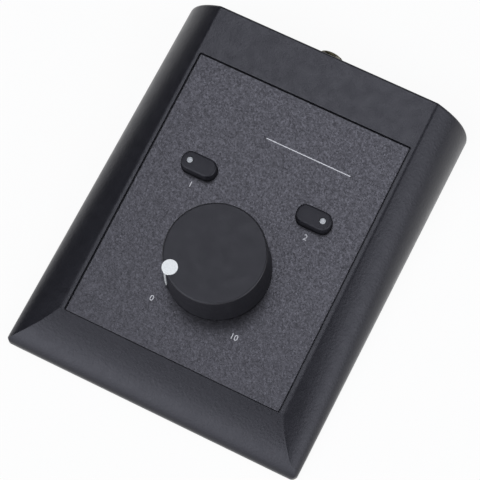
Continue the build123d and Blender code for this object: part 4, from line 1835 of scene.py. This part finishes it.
@dataclass
class Underside:
    """Rubber feet and countersunk screws, set out by the repeating tree."""

    foot_x: float = 49.0
    foot_from_ends: tuple[float, float] = (14.0, 27.0)
    foot_r: float = 5.0
    foot_edge: float = 0.5
    foot_sunk: float = 0.6
    foot_segments: int = 48
    groove_depth: float = 0.25
    groove_radii: tuple[float, ...] = (3.2, 3.4, 3.7, 3.9)
    head_r: float = 2.75
    head_t: float = 1.5
    head_edge: tuple[float, float] = (0.1, 0.08)
    shank_r: float = 1.45
    grip: float = 3.4
    tip: float = 0.4
    drive_r: float = 1.15
    drive_wall: float = 0.7
    drive_floor_r: float = 1.0
    drive_depth: float = 0.9
    screw_segments: int = 36

    def feet(self) -> None:
        """Make the rubber feet, each with a ring groove in its face."""
        top = LAYOUT.foot_h + self.foot_sunk
        groove = zip(self.groove_radii, (0.0, self.groove_depth, self.groove_depth, 0.0))
        profile = [(0.0, 0.0), *groove]
        profile += arc((self.foot_r - self.foot_edge, self.foot_edge), self.foot_edge, -90, 0, 5)
        profile += [(self.foot_r, top), (0.0, top)]
        foot = WORKSHOP.turn("foot", profile, FOOT_RUBBER, segments=self.foot_segments)
        places = LAYOUT.in_corners(self.foot_x, self.foot_from_ends, 0.0)
        feet = WORKSHOP.repeat("feet_set", foot, places, FOOT_RUBBER)
        dress(feet, FOOT_RUBBER, Body.HOUSING, "foot_rubber", "rubber_feet")

    def screws(self) -> None:
        """Make the screws that hold the base plate."""
        base = LAYOUT.foot_h
        seat = base + self.head_t
        end = seat + self.grip
        drive = [(0.0, base + self.drive_depth), (self.drive_floor_r, base + self.drive_depth),
                 (self.drive_r, base + self.drive_wall), (self.drive_r, base)]
        edge_r, edge_h = self.head_edge
        head = [(self.head_r - edge_r, base), (self.head_r, base + edge_h), (self.shank_r, seat)]
        shank = [(self.shank_r, end - self.tip), (self.shank_r - self.tip, end), (0.0, end)]
        screw = WORKSHOP.turn("screw", drive + head + shank, SCREW_STEEL, segments=self.screw_segments)
        places = LAYOUT.in_corners(LAYOUT.screw_x, LAYOUT.screw_from_ends, 0.0)
        screws = WORKSHOP.repeat("screw_set", screw, places, SCREW_STEEL)
        dress(screws, SCREW_STEEL, Body.HOUSING, "screw_steel", "case_screws")

    def build(self) -> None:
        """Make both groups."""
        self.feet()
        self.screws()


@dataclass
class CarriedNodes:
    """The nodes that stay as they are and only get their finish."""

    finishes: dict[str, Finish] = field(default_factory=lambda: {
        "base_plate": BASE_STEEL,
        "faceplate_film": FILM,
        "knob_insert": INSERT_BRASS,
        "pot_shaft": SHAFT_STEEL,
        "pot_bushing": INSERT_BRASS,
        "pot_body": PART_BLACK,
        "pot_track": TRACK_CARBON,
        "pot_pins": CONTACT_GOLD,
        "pot_washer": SCREW_STEEL,
        "pot_nut": SCREW_STEEL,
        "main_board": BOARD_GREEN,
        "board_screws": SCREW_STEEL,
        "board_header": PART_BLACK,
        "header_pins": CONTACT_GOLD,
        "socket_gasket": FOOT_RUBBER,
        "socket_nut": SOCKET_BRASS,
        "socket_insert": PART_BLACK,
        "socket_board": BOARD_GREEN,
        "left_switch_body": PART_BLACK,
        "right_switch_body": PART_BLACK,
        "left_switch_plunger": PART_BLACK,
        "right_switch_plunger": PART_BLACK,
        "left_indicator": INDICATOR_WHITE,
        "right_indicator": INDICATOR_WHITE,
    })

    def build(self, nodes: dict[str, bpy.types.Object]) -> None:
        """Put each finish on its node.

        Args:
            nodes: The frame's nodes by name.
        """
        for name, finish in self.finishes.items():
            nodes[name].data.materials.clear()
            nodes[name].data.materials.append(PALETTE.get(finish))
            LOG.info("%s: %s", name, finish.name)


# ---------------------------------------------------------------- studio
@dataclass(frozen=True)
class Patch:
    """Soft bright patch of the surroundings, like a large lamp behind cloth.

    Args:
        azimuth_deg: Its direction, clockwise from the rear as seen from above.
        elevation_deg: Its height above the floor's horizon.
        core_deg: Half angle of its even middle.
        reach_deg: Half angle where it has faded out.
        strength: Light of its middle.
    """

    azimuth_deg: float
    elevation_deg: float
    core_deg: float
    reach_deg: float
    strength: float

    @property
    def axis(self) -> tuple[float, float, float]:
        """Unit vector towards its middle.

        Returns:
            Its x, y and z.
        """
        azimuth, elevation = math.radians(self.azimuth_deg), math.radians(self.elevation_deg)
        level = math.cos(elevation)
        return math.sin(azimuth) * level, math.cos(azimuth) * level, math.sin(elevation)

    def shine(self, graph: Graph, direction: bpy.types.NodeSocket,
              total: bpy.types.NodeSocket) -> bpy.types.NodeSocket:
        """Add its light to the light that is there.

        Args:
            graph: The surroundings' nodes.
            direction: Unit vector of the ray.
            total: The light so far.

        Returns:
            Both together.
        """
        facing = graph.node("VectorMath", operation="DOT_PRODUCT")
        facing.inputs[1].default_value = self.axis
        graph.join(direction, facing.inputs[0])
        fade = graph.node("MapRange", interpolation_type="SMOOTHSTEP")
        graph.join(facing.outputs["Value"], fade.inputs["Value"])
        fade.inputs["From Min"].default_value = math.cos(math.radians(self.reach_deg))
        fade.inputs["From Max"].default_value = math.cos(math.radians(self.core_deg))
        fade.inputs["To Max"].default_value = self.strength
        summed = graph.node("Math", operation="ADD")
        graph.join(total, summed.inputs[0])
        graph.join(fade.outputs[0], summed.inputs[1])
        return summed.outputs[0]


PATCHES = (
    Patch(328, 77, 7, 16, 3.0),
    Patch(102, 24, 20, 36, 1.8),
    Patch(180, 14, 18, 36, 0.8),
    Patch(225, 14, 20, 38, 0.75),
    Patch(0, 50, 10, 24, 0.5),
    Patch(60, 45, 8, 24, 0.15),
    Patch(74, 31, 8, 24, 0.6),
    Patch(153, 58, 6, 18, 1.1),
    Patch(180, 42, 14, 32, 0.8),
    Patch(218, 50, 10, 28, 2.1),
)


@dataclass
class Studio:
    """Camera, pale floor and soft light."""

    sensor: float = 36.0
    clip: tuple[float, float] = (0.05, 20.0)
    lens_px: float = 2055.185
    picture_px: float = 480.0
    azimuth_deg: float = 26.766
    elevation_deg: float = 68.938
    roll_deg: float = -0.158
    distance: float = 787.571
    target: tuple[float, float, float] = (4.001, -7.6854, 20.0)
    centre_px: tuple[float, float] = (243.0, 240.0)
    patches: tuple[Patch, ...] = PATCHES
    dimmest: float = 0.11
    floor_half: float = 4000.0
    floor_white: float = 0.93
    floor_shine: float = 1.0
    light: tuple[float, float, float] = (0.965, 0.982, 1.045)

    def camera(self) -> None:
        """Camera in front, to the right and high above."""
        data = bpy.data.cameras.new("camera")
        data.sensor_width = self.sensor
        data.lens = self.lens_px / self.picture_px * data.sensor_width
        data.shift_x = (self.picture_px / 2 - self.centre_px[0]) / self.picture_px
        data.shift_y = (self.centre_px[1] - self.picture_px / 2) / self.picture_px
        data.clip_start, data.clip_end = self.clip
        holder = link_new("camera", data)
        azimuth, elevation = math.radians(self.azimuth_deg), math.radians(self.elevation_deg)
        away = Vector((math.sin(azimuth) * math.cos(elevation), -math.cos(azimuth) * math.cos(elevation),
                       math.sin(elevation)))
        level = Vector((math.cos(azimuth), math.sin(azimuth), 0.0))
        rise = away.cross(level)
        roll = math.radians(self.roll_deg)
        right = level * math.cos(roll) + rise * math.sin(roll)
        up = rise * math.cos(roll) - level * math.sin(roll)
        spot = (Vector(self.target) + away * self.distance) * MM
        turn = Matrix((right, up, away)).transposed().to_4x4()
        holder.matrix_world = Matrix.Translation(spot) @ turn
        bpy.context.scene.camera = holder

    def floor(self) -> None:
        """Pale floor that shows white to the lens and in reflections, and is clear from below."""
        sketch = Sketch()
        half = self.floor_half
        sketch.grid([[(-half, -half, 0), (half, -half, 0)], [(-half, half, 0), (half, half, 0)]])
        piece = sketch.finish("floor")
        shader = Shader("floor_white")
        shader.set(Roughness=0.9, Specular_IOR_Level=0.0)
        shader.principled.inputs["Base Color"].default_value = (0.8, 0.8, 0.8, 1.0)
        glow = shader.node("Emission")
        path = shader.node("LightPath")
        seen = shader.add(path.outputs["Is Camera Ray"], path.outputs["Is Transmission Ray"], "MAXIMUM")
        shares = shader.add(shader.spread(seen, 0.0, self.floor_white),
                            shader.spread(path.outputs["Is Glossy Ray"], 0.0, self.floor_shine), "MAXIMUM")
        mix = shader.node("MixShader")
        shader.join(shares, mix.inputs[0])
        shader.join(shader.principled.outputs[0], mix.inputs[1])
        shader.join(glow.outputs[0], mix.inputs[2])
        below = shader.add(path.outputs["Is Camera Ray"], shader.node("NewGeometry").outputs["Backfacing"],
                           "MULTIPLY")
        clear = shader.node("MixShader")
        shader.join(below, clear.inputs[0])
        shader.join(mix.outputs[0], clear.inputs[1])
        shader.join(shader.node("BsdfTransparent").outputs[0], clear.inputs[2])
        shader.join(clear.outputs[0], shader.output.inputs[0])
        piece.data.materials.append(shader.material)

    def world(self) -> None:
        """Dim surroundings with soft bright patches, plain white to the lens."""
        world = bpy.data.worlds.new("surroundings")
        bpy.context.scene.world = world
        world.use_nodes = True
        graph = Graph(world.node_tree)
        direction = graph.node("VectorMath", operation="NORMALIZE")
        graph.join(graph.node("TexCoord").outputs["Generated"], direction.inputs[0])
        base = graph.node("Value")
        base.outputs[0].default_value = self.dimmest
        total = base.outputs[0]
        for patch in self.patches:
            total = patch.shine(graph, direction.outputs[0], total)
        lit = graph.node("Background")
        lit.inputs[0].default_value = (*self.light, 1.0)
        graph.join(total, lit.inputs[1])
        plain = graph.node("Background")
        plain.inputs[0].default_value = (1.0, 1.0, 1.0, 1.0)
        mix = graph.node("MixShader")
        graph.join(graph.node("LightPath").outputs["Is Camera Ray"], mix.inputs[0])
        graph.join(lit.outputs[0], mix.inputs[1])
        graph.join(plain.outputs[0], mix.inputs[2])
        graph.join(mix.outputs[0], graph.node("OutputWorld").inputs[0])

    def build(self) -> None:
        """Set up everything that isn't the object."""
        scene = bpy.context.scene
        scene.view_settings.view_transform = "Standard"
        self.camera()
        self.floor()
        self.world()


def main() -> None:
    """Load the frame and dress it."""
    logging.basicConfig(level=logging.INFO, format="%(message)s")
    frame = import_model()
    Studio().build()
    HousingShell().build()
    Faceplate().build()
    VolumeKnob().build()
    for side in Side:
        PushButton(side).build()
    PanelPrint().build()
    RearSocket().build()
    Underside().build()
    CarriedNodes().build(frame["nodes"])


if __name__ == "__main__":
    main()
